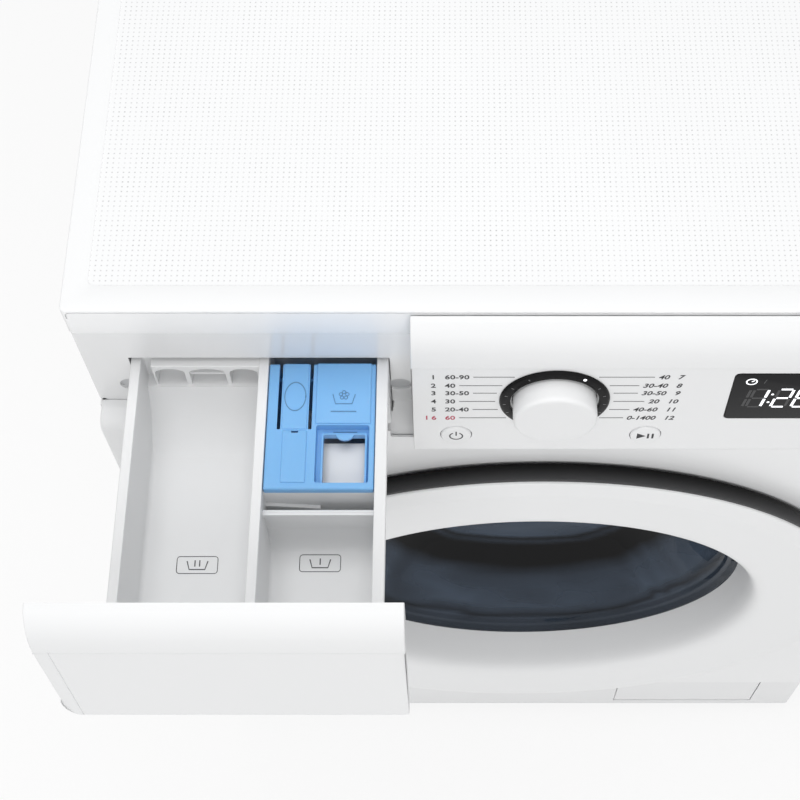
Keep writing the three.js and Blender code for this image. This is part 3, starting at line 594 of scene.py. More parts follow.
def brushed(name, colour, rough, holes=False):
    """Metal with fine lines along one direction; holes adds the drum's rows of round openings as
    near black dots, painted shade of the dark space seen through them, on a grid over the angle
    about the axis and the distance along it."""
    made = surface(name, colour, rough, shade=0.85, Metallic=1.0)
    tree = made.node_tree
    place = own_place(tree)
    relief(tree, noise_node(tree, place, 3.0, 4.0, stretch=(4.0, 400.0, 4.0)), 0.12, 0.0003)
    if holes:
        axes = axes_of(tree, place)
        barrel_radius, rows_per_metre, hole_shade_share = 0.239, 62.0, 0.13
        height = math_node(tree, "SUBTRACT", axes["Z"], AXIS_Z * MM)
        angle = math_node(tree, "ARCTAN2", height, axes["X"])
        round_trip = math_node(tree, "MULTIPLY", angle, barrel_radius)
        cells = []
        for value in (round_trip, axes["Y"]):
            part = math_node(tree, "FRACT", math_node(
                tree, "MULTIPLY_ADD", value, rows_per_metre, 100.0))
            away = math_node(tree, "SUBTRACT", part, 0.5)
            cells.append(math_node(tree, "MULTIPLY", away, away))
        near = math_node(tree, "SQRT", math_node(tree, "ADD", *cells))
        # painted shade: near black dots stand for the openings
        colour_mix(tree, math_node(tree, "LESS_THAN", near, hole_shade_share), colour_so_far(tree),
                   (0.01, 0.01, 0.012))
    return made


def edged(name, colour, front):
    """The door's rim, near black at its back edge, painted shade of the gap behind it, and lighter
    towards its front edge, painted light: the share of the front colour is (distance from the back
    edge / 13.2 mm)^1.7."""
    made = surface(name, front, 0.24, 0.85, 0.05, 1000.0, 0.05, Specular_IOR_Level=0.1)
    tree = made.node_tree
    axes = axes_of(tree, own_place(tree))
    back_edge, per_metre = LID_EDGE - 0.01774, 76.0
    share = math_node(tree, "MULTIPLY_ADD", axes["Y"], -per_metre, back_edge * per_metre)
    share = math_node(tree, "POWER", math_node(tree, "MAXIMUM", share, 0.0), 1.7)
    # painted shade at the back edge that fades into painted light at the front edge
    colour_mix(tree, share, scaled(colour, 0.3), colour_so_far(tree))
    return made


def glass_painted_reflections(name, tint):
    """Dark glass whose tone follows the distance from the door's axis, bent by slow noise: painted
    reflections and painted shade in rings, a grey middle, a near black shoulder and a bluish wall
    with streaks."""
    made = surface(name, tuple(tint), 0.04, 0.8, 0.01, 60.0, 0.01, Transmission_Weight=0.5,
                   IOR=1.4, Specular_IOR_Level=0.05)
    tree = made.node_tree
    place = own_place(tree)
    axes = axes_of(tree, place)
    height = math_node(tree, "SUBTRACT", axes["Z"], AXIS_Z * MM)
    radius = math_node(tree, "SQRT", math_node(
        tree, "ADD", math_node(tree, "MULTIPLY", axes["X"], axes["X"]),
        math_node(tree, "MULTIPLY", height, height)))
    noise = noise_node(tree, place, 1.0, 1.5, 0.8, stretch=(6.0, 12.0, 22.0))
    bent = math_node(tree, "MULTIPLY_ADD", noise, 0.012, -0.006)
    bowl_radius = 0.18
    share = math_node(tree, "DIVIDE", math_node(tree, "ADD", radius, bent), bowl_radius)
    ramp = tree.nodes.new("ShaderNodeValToRGB")
    stops = ramp.color_ramp.elements
    stops[0].position, stops[0].color = 0.0, (*(tint * (1.5, 1.15, 0.85)), 1)
    stops[1].position, stops[1].color = 1.0, (*(tint * 0.3), 1)
    # rings of painted reflection and painted shade across the bowl
    for at, part in ((0.655, 1.0), (0.672, 0.12), (0.687, 0.4), (0.705, 0.02), (0.775, 0.02),
                     (0.82, 0.7), (0.90, 0.95), (0.925, 0.2), (0.94, 0.6)):
        stop = stops.new(at)
        stop.color = (*(tint * part), 1)
    tree.links.new(share, ramp.inputs[0])
    streaks = math_node(tree, "MULTIPLY_ADD", noise, 1.6, 0.2)
    colour_mix(tree, 1.0, ramp.outputs["Color"], streaks, "MULTIPLY")
    return made


def glowing(name, colour, strength):
    """Lit or unlit segments behind the display's window."""
    made = surface(name, colour, 0.4)
    shader = made.node_tree.nodes["Principled BSDF"]
    shader.inputs["Emission Color"].default_value = (*colour, 1)
    shader.inputs["Emission Strength"].default_value = strength
    return made


def recipes():
    """How each finish is made, by name; a recipe is given the material's title."""
    s = settings()
    white = tuple(s.plastic)
    return {
        "enamel": lambda n: surface(n, tuple(s.enamel), 0.30, 0.985, 0.03, 420.0, 0.05, 0.0003),
        "white plastic": lambda n: surface(n, white, 0.36, 0.98, 0.04, 1400.0, 0.03),
        "glossy white": lambda n: surface(n, white, 0.16, 0.98, 0.03, 700.0, 0.015, IOR=1.75),
        "satin white": lambda n: surface(n, white, 0.45, 0.975, 0.05, 1100.0, 0.05),
        "lid board": lambda n: pitted(n, (0.86, 0.865, 0.87)),
        "lid border": lambda n: surface(n, (0.85, 0.855, 0.86), 0.40, 0.985, 0.04, 1200.0, 0.03),
        # the lid's front rail: the border's white made lighter, painted light on the rail's faces
        "lid rail painted light": lambda n: surface(n, (0.95, 0.955, 0.96), 0.36, 0.985, 0.04, 1200.0, 0.03),
        "grey plastic": lambda n: surface(n, (0.52, 0.53, 0.545), 0.5, 0.94, 0.06, 900.0, 0.06),
        "recess grey": lambda n: surface(n, (0.55, 0.56, 0.57), 0.45, 0.95, 0.05, 900.0, 0.05),
        "charcoal": lambda n: surface(n, tuple(s.charcoal), 0.24, 0.85, 0.05, 1000.0, 0.05,
                                      Specular_IOR_Level=0.1),
        "rim charcoal painted shade": lambda n: edged(n, tuple(s.charcoal), (0.07, 0.07, 0.072)),
        "display glass": lambda n: surface(n, (0.006, 0.006, 0.007), 0.14, 0.9, 0.03, 500.0, 0.01,
                                           Specular_IOR_Level=0.12),
        "insert blue": lambda n: surface(n, tuple(s.insert), 0.34, 0.95, 0.05, 900.0, 0.05,
                                         Subsurface_Weight=0.08, Subsurface_Scale=0.003),
        # the insert's blue darkened: painted shade along its raised ribs
        "blue painted shade": lambda n: surface(n, tuple(c * 0.55 for c in s.insert), 0.5, 0.9, 0.05),
        "grey rubber": lambda n: surface(n, (0.18, 0.185, 0.195), 0.6, 0.85, 0.08, 500.0, 0.1),
        "black rubber": lambda n: surface(n, (0.016, 0.016, 0.017), 0.7, 0.8, 0.1, 450.0, 0.15),
        "zinc steel": lambda n: surface(n, (0.48, 0.49, 0.50), 0.42, 0.82, 0.12, 160.0, 0.08,
                                        drift=60.0, Metallic=1.0),
        "stainless": lambda n: brushed(n, (0.56, 0.57, 0.58), 0.28),
        "drum steel": lambda n: brushed(n, (0.60, 0.61, 0.62), 0.26, holes=True),
        "tub plastic": lambda n: surface(n, (0.62, 0.62, 0.58), 0.6, 0.9, 0.08, 600.0, 0.12),
        "cast weight": lambda n: surface(n, (0.22, 0.22, 0.21), 0.85, 0.7, 0.1, 240.0, 0.6,
                                         0.0008, drift=40.0),
        "door glass": lambda n: glass_painted_reflections(n, np.array(s.bowl_tint)),
        "winding": lambda n: surface(n, (0.45, 0.16, 0.06), 0.4, 0.7, 0.1, 1500.0, 0.3,
                                     Metallic=0.8),
        "ink": lambda n: surface(n, tuple(s.ink), 0.5, 0.9),
        "pale ink": lambda n: surface(n, (0.075, 0.075, 0.08), 0.5, 0.9),
        "warm ink": lambda n: surface(n, tuple(s.warm_ink), 0.5, 0.9),
        "tick": lambda n: surface(n, (0.16, 0.16, 0.165), 0.5, 0.9),
        "lit": lambda n: glowing(n, (0.95, 0.97, 1.0), 1.0),
        "unlit": lambda n: surface(n, (0.028, 0.028, 0.03), 0.4, 0.9),
    }


def material(name):
    """The finish of that name, made the first time it is asked for."""
    title = f"{name} finish"
    return bpy.data.materials.get(title) or recipes()[name](title)


# ------------------------------------------------------------------ marks and small shapes
def upright(part, y=0.0):
    """From (across, up, out) to a wall that faces the front at y."""
    (u, v, h), faces = part[0].T, part[1]
    return np.column_stack([u, y - h, v]), faces


def level(part, z):
    """From (across, back, up) to a floor at z."""
    (u, v, h), faces = part[0].T, part[1]
    return np.column_stack([u, v, z + h]), faces


def ring_line(u, v, radius, start=0.0, end=360.0, steps=48):
    """A circle or an arc between two angles in degrees: (u + r cos a, v + r sin a)."""
    angle = np.radians(np.linspace(start, end, steps + 1))
    return np.column_stack([u + radius * np.cos(angle), v + radius * np.sin(angle)])


def frame_line(u0, u1, v0, v1, corner):
    """The closed outline of a rounded rectangle."""
    line = rounded([(u0, v0, corner), (u1, v0, corner), (u1, v1, corner), (u0, v1, corner)])
    return np.vstack([line, line[:1]])


def wash_mark(u, v, bars):
    """A tub with one or two bars inside a rounded frame, 26 mm wide."""
    parts = [stroke(frame_line(u - 13, u + 13, v - 5.7, v + 5.7, 2.2), 0.45),
             stroke([(u - 6.6, v + 2.6), (u - 5, v - 3), (u + 5, v - 3), (u + 6.6, v + 2.6)], 0.75)]
    for k in range(bars):
        x = u + (k - (bars - 1) / 2) * 3.0
        parts.append(stroke([(x, v + 3.2), (x, v - 1.0)], 0.75))
    return parts


def on_glass(line, width):
    """A line of the display, just above its window."""
    return stroke(line, width, MARK_THICK, MARK_LOW)


def digit(u, v, width, height, slant, lit):
    """Seven bars of a digit; gives the lit and the unlit ones apart."""
    g, half = 0.9, height / 2
    bars = {"a": ((g, height), (width - g, height)), "g": ((g, half), (width - g, half)),
            "d": ((g, 0), (width - g, 0)), "f": ((0, half + g), (0, height - g)),
            "b": ((width, half + g), (width, height - g)), "e": ((0, g), (0, half - g)),
            "c": ((width, g), (width, half - g))}
    on, off = [], []
    for name, line in bars.items():
        placed = [(u + a + b * slant, v + b) for a, b in line]
        (on if name in lit else off).append(on_glass(placed, 1.7))
    return on, off


def screw(x, y, z, facing=-1.0, radius=4.0):
    """A pan head with its axis along Y, and two thin bars through its top that mark the cross slot;
    they are given a dark finish as painted shade in the slot.
    """
    head = turned([(0, 0), (radius, 0), (radius, 0.7), (radius * 0.75, 1.7), (0, 2.1)], 24)
    points = head[0] * np.array([1, facing, 1]) + np.array([x, y, z])
    slot_shade_bars = [box(x - a, x + a, min(y, y + facing * 2.25), max(y, y + facing * 2.25), z - b, z + b)
            for a, b in ((radius * 0.5, 0.4), (0.4, radius * 0.5))]
    return (points, head[1]), slot_shade_bars


def offset_line(line, amount):
    """A line moved sideways by an amount along its own normals."""
    along = np.gradient(line, axis=0)
    along /= np.linalg.norm(along, axis=1, keepdims=True)
    return line + np.stack([-along[:, 1], along[:, 0]], -1) * amount


def fascia_block(x0, x1, back, groove=0.0, reach=0.0, rise=0.0, edge=0.9):
    """The fascia's Y-Z outline carried along X as a full block. At a distance d from an end it is
    drawn in by r - sqrt(r^2 - (r - d)^2), in the groove by 0.5, which fades out between the heights
    808 and 822, and at the left corner its bottom climbs a quarter of an ellipse,
    rise (1 - sqrt(1 - (1 - d / reach)^2))."""
    v = np.linspace(0, math.pi / 2, 9)
    steps = np.concatenate([edge * (1 - np.cos(v)), reach * (1 - np.cos(v)),
                            groove + np.array([0, 0.2, 0.8, 1.0]) * (groove > 0)])
    stations = np.unique(np.concatenate([x0 + steps, x1 - edge * (1 - np.cos(v))]))
    outer = flowing(FASCIA_OUTER)
    inner = np.array([(-16.6, WALL_LOW), (back, WALL_LOW), (back, 820.0), (-1.2, FRAME_TOP)])
    rows = []
    for x in stations:
        sunk = 0.5 * (groove > 0 and 0.1 < x - x0 - groove < 0.9)
        inset = sum(edge - math.sqrt(edge ** 2 - max(edge - d, 0) ** 2) for d in (x - x0, x1 - x))
        face = offset_line(outer, inset)
        share = np.clip((822 - face[:, 1:]) / 14, 0, 1)
        face += share * (offset_line(outer, inset + sunk) - face)
        line = np.vstack([face, inner])
        short = max(1 - (x - x0) / reach, 0) if reach else 0
        line[:, 1] = np.maximum(line[:, 1], FASCIA_LOW + rise * (1 - math.sqrt(1 - short ** 2)))
        rows.append(np.column_stack([np.full(len(line), x), line]))
    return loft(rows)


def fascia_hollow(x0, x1):
    """The room behind the fascia's wall, open at the back, as a tool."""
    inner = flowing(FASCIA_INNER)
    outline = np.vstack([inner, [(20, 843), (20, 700), (-16.6, 700)]])
    return prism(outline, x0, x1, "X")


# ------------------------------------------------------------------ operators, by piece or group
class WASHER_OT_lid(bpy.types.Operator):
    """The lid: a rounded slab, a joint line round its front rail and a pitted board on top"""

    bl_idname = "washer.lid"
    bl_label = "Lid"

    def execute(self, context):
        s = settings()
        side, front = s.side_margin / MM, s.front_margin / MM
        v = np.linspace(0, math.pi / 2, 6)
        soft = 1.2
        edge = [(soft * (1 - math.cos(a)), TOP - soft * (1 - math.sin(a))) for a in v]
        rows = [at_height(rectangle(-HALF_WIDTH + i, HALF_WIDTH - i, i, DEPTH - i, 4.0), z)
                for i, z in [(2.0, 821.0), (0.6, 821.5), (0.0, 823.0), *edge]]
        board = HALF_WIDTH - side
        rows += [at_height(rectangle(-board + i, board - i, front + i, DEPTH - front - i, 5.0), z)
                 for i, z in ((0.0, TOP), (0.25, TOP - 0.1), (0.5, TOP - 0.4))]
        lid = build("lid_board_and_frame", loft(rows))
        x, low, high = 296.8, 840, 847.4  # the joint line on the front rail
        line = rounded([(-x, low, 0), (-x, high, 5), (x, high, 5), (x, low, 0)])
        cut(lid, upright(stroke(line, 0.8, 2.0, -1.2)))
        mesh = lid.data
        for finish in ("lid border", "lid board", "lid rail painted light"):
            mesh.materials.append(material(finish))
        centre = np.zeros(len(mesh.polygons) * 3)
        mesh.polygons.foreach_get("center", centre)
        centre = centre.reshape(-1, 3)
        low = shop([-board, front, TOP - 0.45])
        high = shop([board, DEPTH - front, TOP - 0.35])
        inside = np.all((centre > low) & (centre < high), axis=1)
        # faces on the front rail get the lighter white: painted light on the rail
        _, rail_back, rail_top = shop([0, 0.4, TOP - 0.4])
        rail_painted_light = (centre[:, 1] < rail_back) & (centre[:, 2] < rail_top)
        mesh.polygons.foreach_set("material_index", inside + 2 * rail_painted_light)
        keep(lid, "cabinet", "white_plastic", None, "lid")
        return {"FINISHED"}


class WASHER_OT_cabinet(bpy.types.Operator):
    """The front sheet, the frame behind the drawer, the kick plate and the pump hatch"""

    bl_idname = "washer.cabinet"
    bl_label = "Cabinet front"

    def execute(self, context):
        wide = 310  # past both sides
        sheet = build("front_sheet", self.shoulder(0.0, PANEL_LOW, 40))
        cut(sheet,
            self.shoulder(1.6, 80, 50),
            box(-wide, wide, -1.3, 60, 80, PANEL_TOP - 1.7),
            box(-wide, wide, 1.7, 60, 80, PANEL_TOP + 10),
            disc(195, -20, -10, ROUND, AXIS),
            box(-274, -104.2, -20, 5, 716, PANEL_TOP + 5),
            pillow(-106, -88, 707, PANEL_TOP + 5, -20, 5, 2, axis="Y"),
            box(217, 238, -20, -10, AXIS_Z - 12, AXIS_Z + 12),
            *[box(-265, -255, -20, -10, AXIS_Z + low, AXIS_Z + high)
              for low, high in ((43.7, 65.5), (-65.5, -43.7))])
        keep(sheet, "cabinet", "enamel", "enamel", "front_panel")

        back = build("recess_frame", pillow(-299.4, 299.4, 2, 5, 729.8, FRAME_TOP, 1))
        join(back, pillow(-296.5, 296.5, 2, 30, 726, FRAME_TOP, 3),
             prism([(2, 727), (-13.6, 706), (-13.6, 696), (4.9, 696), (4.9, 727)],
                   -103.4, -88.4, "X"),
             prism([(-1.3, 722.4), (-13.5, 706), (-13.5, 696.4), (4.8, 696.4), (4.8, 722.4)],
                   -111.8, -102, "X"))
        cut(back,
            box(-293.5, 293.5, 5, 40, 720, 830),
            pillow(-270.2, -104.4, 700, 787, -3, 9, 1.2, axis="Y"),
            *[turned([(0, -1), (7.6, -1), (7.6, 3.6), (7.2, 4.0), (0, 4.0)], 40, seat)
              for seat in SCREW_SEATS])
        keep(back, "cabinet", "white_plastic", "glossy white", "panel_frame")
        covers = build("recess_screw_seats", *[disc(7.4, 3.6, 4.6, 40, seat)
                                               for seat in SCREW_SEATS])
        keep(covers, "cabinet", "grey_plastic", "recess grey")

        kick = build("kick_plate_front", pillow(-298, 298, -6, 30, 8, KICK_TOP, 4, 0.8, 1.5))
        cut(kick, pillow(-295, 295, -3, 40, 0, KICK_TOP - 3, 2, 0, 0.5),
            box(-wide, wide, -1.3, 60, 0, 130),
            pillow(108.5, 255.5, 20, 137, -10, 2, 2, axis="Y"))
        keep(kick, "cabinet", "white_plastic", "white plastic", "kick_plate")
        hatch = build("pump_hatch_cover",
                      pillow(109.5, 254.5, 22, 119.8, -6, -3.5, 2.5, 0.6, 0.2, axis="Y"))
        cut(hatch, pillow(168.5, 193, 114.8, 127, -8, 0, 2, axis="Y"))
        keep(hatch, "hatch", "white_plastic", "white plastic", "pump_hatch")
        return {"FINISHED"}

    @staticmethod
    def shoulder(inset, low, back):
        """A block whose front leans over at the top by R(1 - cos v) while it climbs by R sin v, and
        whose sides draw in by 3(1 - cos v)."""
        v = np.linspace(0, math.pi / 2, 11)
        bend = PANEL_ROUND - inset
        front = np.concatenate([[0.0], bend * (1 - np.cos(v))]) + PANEL_FRONT + inset
        side = np.concatenate([[0.0], 3 * (1 - np.cos(v))]) + inset - HALF_WIDTH
        height = np.concatenate([[low], PANEL_TOP - PANEL_ROUND + bend * np.sin(v)])
        rows = []
        for x, y, z in zip(side, front, height):
            line = rounded([(x, y, 3.5), (-x, y, 3.5), (-x, back, 1), (x, back, 1)],
                           same_count=True)
            rows.append(at_height(line, z))
        return loft(rows)


class WASHER_OT_control_panel(bpy.types.Operator):
    """The fixed fascia: a sloping face, a rounded top and holes for knob, buttons and display"""

    bl_idname = "washer.control_panel"
    bl_label = "Control panel"

    def execute(self, context):
        panel = build("fascia", fascia_block(FASCIA_LEFT, FASCIA_RIGHT, 1.7))
        tools = [fascia_hollow(FASCIA_LEFT + WALL, FASCIA_RIGHT - WALL)]
        for radius, u, z in ((27.2, 0, KNOB_Z), (10.5, -BUTTON_X, BUTTON_Z),
                             (10.5, BUTTON_X, BUTTON_Z)):
            tools.append(on_face(disc(radius, -8, 6, 64, (u, face_v(z), 0), "Z")))
        left, right, low, high = DISPLAY
        tools.append(on_face(pillow(left - 0.4, right + 0.4, face_v(low) - 0.4,
                                    face_v(high) + 0.4, -8, 4, 4.2)))
        cut(panel, *tools)
        keep(panel, "cabinet", "white_plastic", "white plastic", "control_panel")
        return {"FINISHED"}


class WASHER_OT_dial(bpy.types.Operator):
    """The dial: a dark ring with ticks and a lit dot, and a tall pale knob that turns in it"""

    bl_idname = "washer.dial"
    bl_label = "Dial and knob"

    def execute(self, context):
        centre = (0, face_v(KNOB_Z), 0)
        ring = build("dial_ring_face", on_face(turned(
            [(28, 0.3), (35, 0.3), (34.8, 1.1), (34.2, 1.7), (33.4, 2.1), (29.4, 2.5), (28.7, 2.5),
             (28.1, 2.0)], 128, centre, "Z", closed=True)))
        keep(ring, "cabinet", "charcoal", "charcoal", "dial_ring")
        ticks, angles = [], [angle for _, angle in program_rows()]
        for row, angle in enumerate(angles):
            for mirror in (1, -1):
                if row == 0 and mirror == 1:
                    continue  # the lit dot stands here
                direction = np.array([mirror * math.cos(angle), math.sin(angle)])
                ends = [direction * r + np.array(centre[:2]) for r in (30.9, 32.7)]
                ticks.append(on_face(stroke(ends, 0.5, 0.12, 2.25)))
        keep(build("dial_ticks", *ticks), "cabinet", "charcoal", "tick")
        across, up = 32.2 * math.cos(angles[0]), 32.2 * math.sin(angles[0])
        lamp = turned([(0, 2.2), (1.15, 2.2), (1.0, 2.5), (0, 2.62)], 20,
                      (across, centre[1] + up, 0), "Z")
        keep(build("dial_lamp", on_face(lamp)), "cabinet", "white_plastic", "lit")
        knob = build("knob_cap", on_face(turned(
            [(0, 16.8), (12, 16.78), (23.4, 16.7), (24.7, 16.5), (25.6, 16.0), (26.1, 15.3),
             (26.4, 14.3), (26.5, 13.0), (26.5, -3), (24, -3), (24, 13.4), (5, 13.4), (5, -13.6),
             (0, -13.6)], 128, centre, "Z")))
        keep(knob, "knob", "white_plastic", "white plastic", "program_knob", angle=50)
        return {"FINISHED"}


def program_rows():
    """For each label row: its height above the knob's centre and the angle of its tick."""
    return [(offset, math.asin(offset / 32.0)) for offset in (27.0, 17.0, 8.0, -2.0, -12.0, -22.5)]


class WASHER_OT_buttons(bpy.types.Operator):
    """Two round buttons with a power mark and a start and pause mark"""

    bl_idname = "washer.buttons"
    bl_label = "Buttons"

    def execute(self, context):
        v, low, high = face_v(BUTTON_Z), 1.32, 1.42  # the marks lie on the caps
        marks = {
            "power": [stroke(ring_line(0, v, 4.2, 120, 420, 30), 0.85, high - low, low),
                      stroke([(0, v + 0.6), (0, v + 5.6)], 0.85, high - low, low)],
            "start": [stroke([(1.8, v - 3), (1.8, v + 3)], 1.3, high - low, low),
                      stroke([(4.8, v - 3), (4.8, v + 3)], 1.3, high - low, low),
                      prism([(-5.6, v - 3.4), (0.2, v), (-5.6, v + 3.4)], low, high, "Z")]}
        for body, u, node in (("power", -BUTTON_X, "power_button"),
                              ("start", BUTTON_X, "start_button")):
            cap = build(f"{body}_cap", on_face(turned(
                [(0, 1.3), (8.6, 1.3), (9.5, 1.0), (9.95, 0.2), (10, -1), (10, -6.9), (0, -6.9)],
                72, (u, v, 0), "Z")))
            keep(cap, body, "white_plastic", "white plastic", node)
            mark = build(f"{body}_mark", *[on_face(shifted(part, u)) for part in marks[body]])
            keep(mark, body, "white_plastic", "ink")
        return {"FINISHED"}


class WASHER_OT_printing(bpy.types.Operator):
    """Plain numbers beside the dial, each with a thin line to its tick"""

    bl_idname = "washer.printing"
    bl_label = "Printing"

    def execute(self, context):
        left = ("1   60-90", "2   40", "3   30-50", "4   30", "5   20-40", "6   60")
        right = ("40   7", "30-40   8", "30-50   9", "20   10", "40-60   11", "0-1400   12")
        inks, warm, lines = [], [], []
        for row, (offset, _) in enumerate(program_rows()):
            v = face_v(KNOB_Z + offset)
            rim = math.sqrt(37.5 ** 2 - offset ** 2)
            low = v - 2.3
            first = figures(left[row], 4.6, -78, low)
            (warm if row == 5 else inks).append(on_face(first))
            last = figures(right[row], 4.6, 78, low, "RIGHT", 0.25)
            inks.append(on_face(last))
            lines.append(on_face(stroke([(first[0][:, 0].max() + 2.5, v), (-rim, v)], 0.55)))
            lines.append(on_face(stroke([(rim, v), (last[0][:, 0].min() - 2.5, v)], 0.55)))
        bar = [(-81, face_v(KNOB_Z - 24.8)), (-81, face_v(KNOB_Z - 20))]
        warm.append(on_face(stroke(bar, 0.9)))
        keep(build("program_numbers", *inks), "cabinet", "white_plastic", "ink")
        keep(build("program_number_six", *warm), "cabinet", "white_plastic", "warm ink")
        keep(build("program_lines", *lines), "cabinet", "white_plastic", "pale ink")
        return {"FINISHED"}


class WASHER_OT_display(bpy.types.Operator):
    """The display: a black window with seven-bar digits and small touch marks"""

    bl_idname = "washer.display"
    bl_label = "Display"

    def execute(self, context):
        left, right, low, high = DISPLAY
        window = build("display_glass", on_face(pillow(left, right, face_v(low), face_v(high),
                                                       -2.7, 0.3, 3.8, 0, 0.25)))
        keep(window, "cabinet", "display_black", "display glass", "display_window")
        lit, unlit = [], []
        v, slant = face_v(770), 0.13
        for u, segments in ((110.5, ""), (122, "bc"), (137.5, "abged"), (150.5, "abcdefg")):
            on, off = digit(u, v, 9.0, 21.0, slant, segments)
            lit += on
            first = u < 115  # the first place shows only its two right-hand bars
            unlit += off[4:5] + off[6:7] if first else off
        for dv in (5.5, 15):
            lit.append(disc(0.9, MARK_LOW, MARK_LOW + MARK_THICK, 16,
                            (134.6 + dv * slant, v + dv, 0), "Z"))
        clock = face_v(800)
        lit.append(on_glass(ring_line(121, clock, 3.2, steps=32), 0.8))
        lit.append(on_glass([(121, clock), (122.6, clock + 1.4)], 0.8))
        unlit.append(on_glass([(129, face_v(798)), (130, face_v(802.5))], 0.7))
        for k in range(6):
            u = 176 + 18 * k
            lit.append(on_glass(ring_line(u, face_v(784), 3.4, steps=32), 0.5))
            unlit.append(on_glass([(u - 3, v), (u + 3, v)], 0.8))
        keep(build("display_lit", *[on_face(p) for p in lit]), "cabinet", "display_black", "lit")
        keep(build("display_unlit", *[on_face(p) for p in unlit]), "cabinet", "display_black",
             "unlit")
        return {"FINISHED"}


class WASHER_OT_drawer_front(bpy.types.Operator):
    """The drawer's front: the fascia's section with an end cap and a finger hollow below"""

    bl_idname = "washer.drawer_front"
    bl_label = "Drawer front"

    def execute(self, context):
        right = FASCIA_LEFT - 1
        main = build("drawer_fascia", shifted(
            fascia_block(-300, right, -13.6, groove=8.6, reach=16.0, rise=34.0), y=DRAWER_OUT))
        t = np.linspace(-1, 1, 25)
        grip = turned(np.column_stack([11 * np.sqrt(np.clip(1 - t ** 4, 0, 1)), 38 * t]), 48,
                      (-174.5, -30.5 + DRAWER_OUT, 703.2), "X")
        cut(main, shifted(fascia_hollow(-285, right - WALL), y=DRAWER_OUT), grip)
        join(main, shifted(box(-290, right - 2, -16.2, -13.4, WALL_LOW, 825), y=DRAWER_OUT))
        keep(main, "drawer", "white_plastic", "white plastic", "drawer_front")
        return {"FINISHED"}


class WASHER_OT_drawer_tray(bpy.types.Operator):
    """The tray: two soft-edged rooms, arched pockets, a cross wall, a ramp and floor marks"""

    bl_idname = "washer.drawer_tray"
    bl_label = "Drawer tray"

    def execute(self, context):
        floor, top = 726.6, 783
        tray = build("tray", pillow(-269, -105, -193, 22, 724, top, 6, 3, 1.0))
        cut(tray,
            pillow(-262.6, -187.3, -189, 6, floor, top, 1.5, 4, -0.7, taper=0.8),
            pillow(-181, -112.4, -189, 14, floor, top, 1.5, 3, -0.7, taper=0.4),
            box(-109.4, -100, -187, -14, 715, 775))
        v = np.linspace(0, math.radians(73), 14)
        scoop = np.vstack([np.column_stack([-46 + 44 * np.sin(v), 770.6 - 44 * np.cos(v)]),
                           [(7, 757.7), (7, 726), (-46, 726)]])
        join(tray, prism(scoop, -264, -185, "X"),
             pillow(-256.5, -185, -2, 7, 740, 782.2, 0.8, 0, 0.5))
        pockets = []
        v = np.linspace(0, math.pi, 17)
        for x0, x1 in ((-255, -236), (-233, -210), (-207.3, -189.4)):
            arch = np.vstack([[(x0, 758), (x1, 758)],
                              np.column_stack([(x0 + x1) / 2 + (x1 - x0) / 2 * np.cos(v),
                                               773.5 + 5.5 * np.sin(v)])])
            pockets.append(prism(arch, -4, 11, "Y"))
        cut(tray, *pockets)
        left, right = -182, -111.5  # the cross wall ends inside the room's walls
        beam = [(left, 772), (right, 772), (right, 757.5), (-147, 757.5), (left, 766)]
        ledge = [(left, 762), (-147, 757), (-147, 755), (left, 759)]
        join(tray,
             pillow(left, right, -98, -95.6, 725.5, 772, 0.3, 0, 1.0),
             prism(beam, -99.4, -97.8, "Y"),
             pillow(left, right, -86.6, -85.2, 725.5, 776.5, 0.2, 0, 0.4),
             prism(ledge, -88.8, -86, "Y"),
             box(-234, -209, 0, 2.0, 768.6, 770.6))
        keep(tray, "drawer", "white_plastic", "satin white", "drawer_tray")
        v = np.linspace(0, math.radians(76), 14)
        ramp = np.vstack([np.column_stack([-107 + 9.2 * np.sin(v), 752.5 - 26 * np.cos(v)]),
                          [(-97, 746), (-97, 725.6), (-107, 725.6)]])
        keep(build("tray_ramp", prism(ramp, -181.6, -111.8, "X")),
             "drawer", "white_plastic", "satin white", angle=40)
        marks = wash_mark(-226.5, -115, 2) + wash_mark(-148.5, -113.8, 1)
        printed = build("tray_marks", *[level(part, floor) for part in marks])
        keep(printed, "drawer", "grey_plastic", "pale ink")
        return {"FINISHED"}


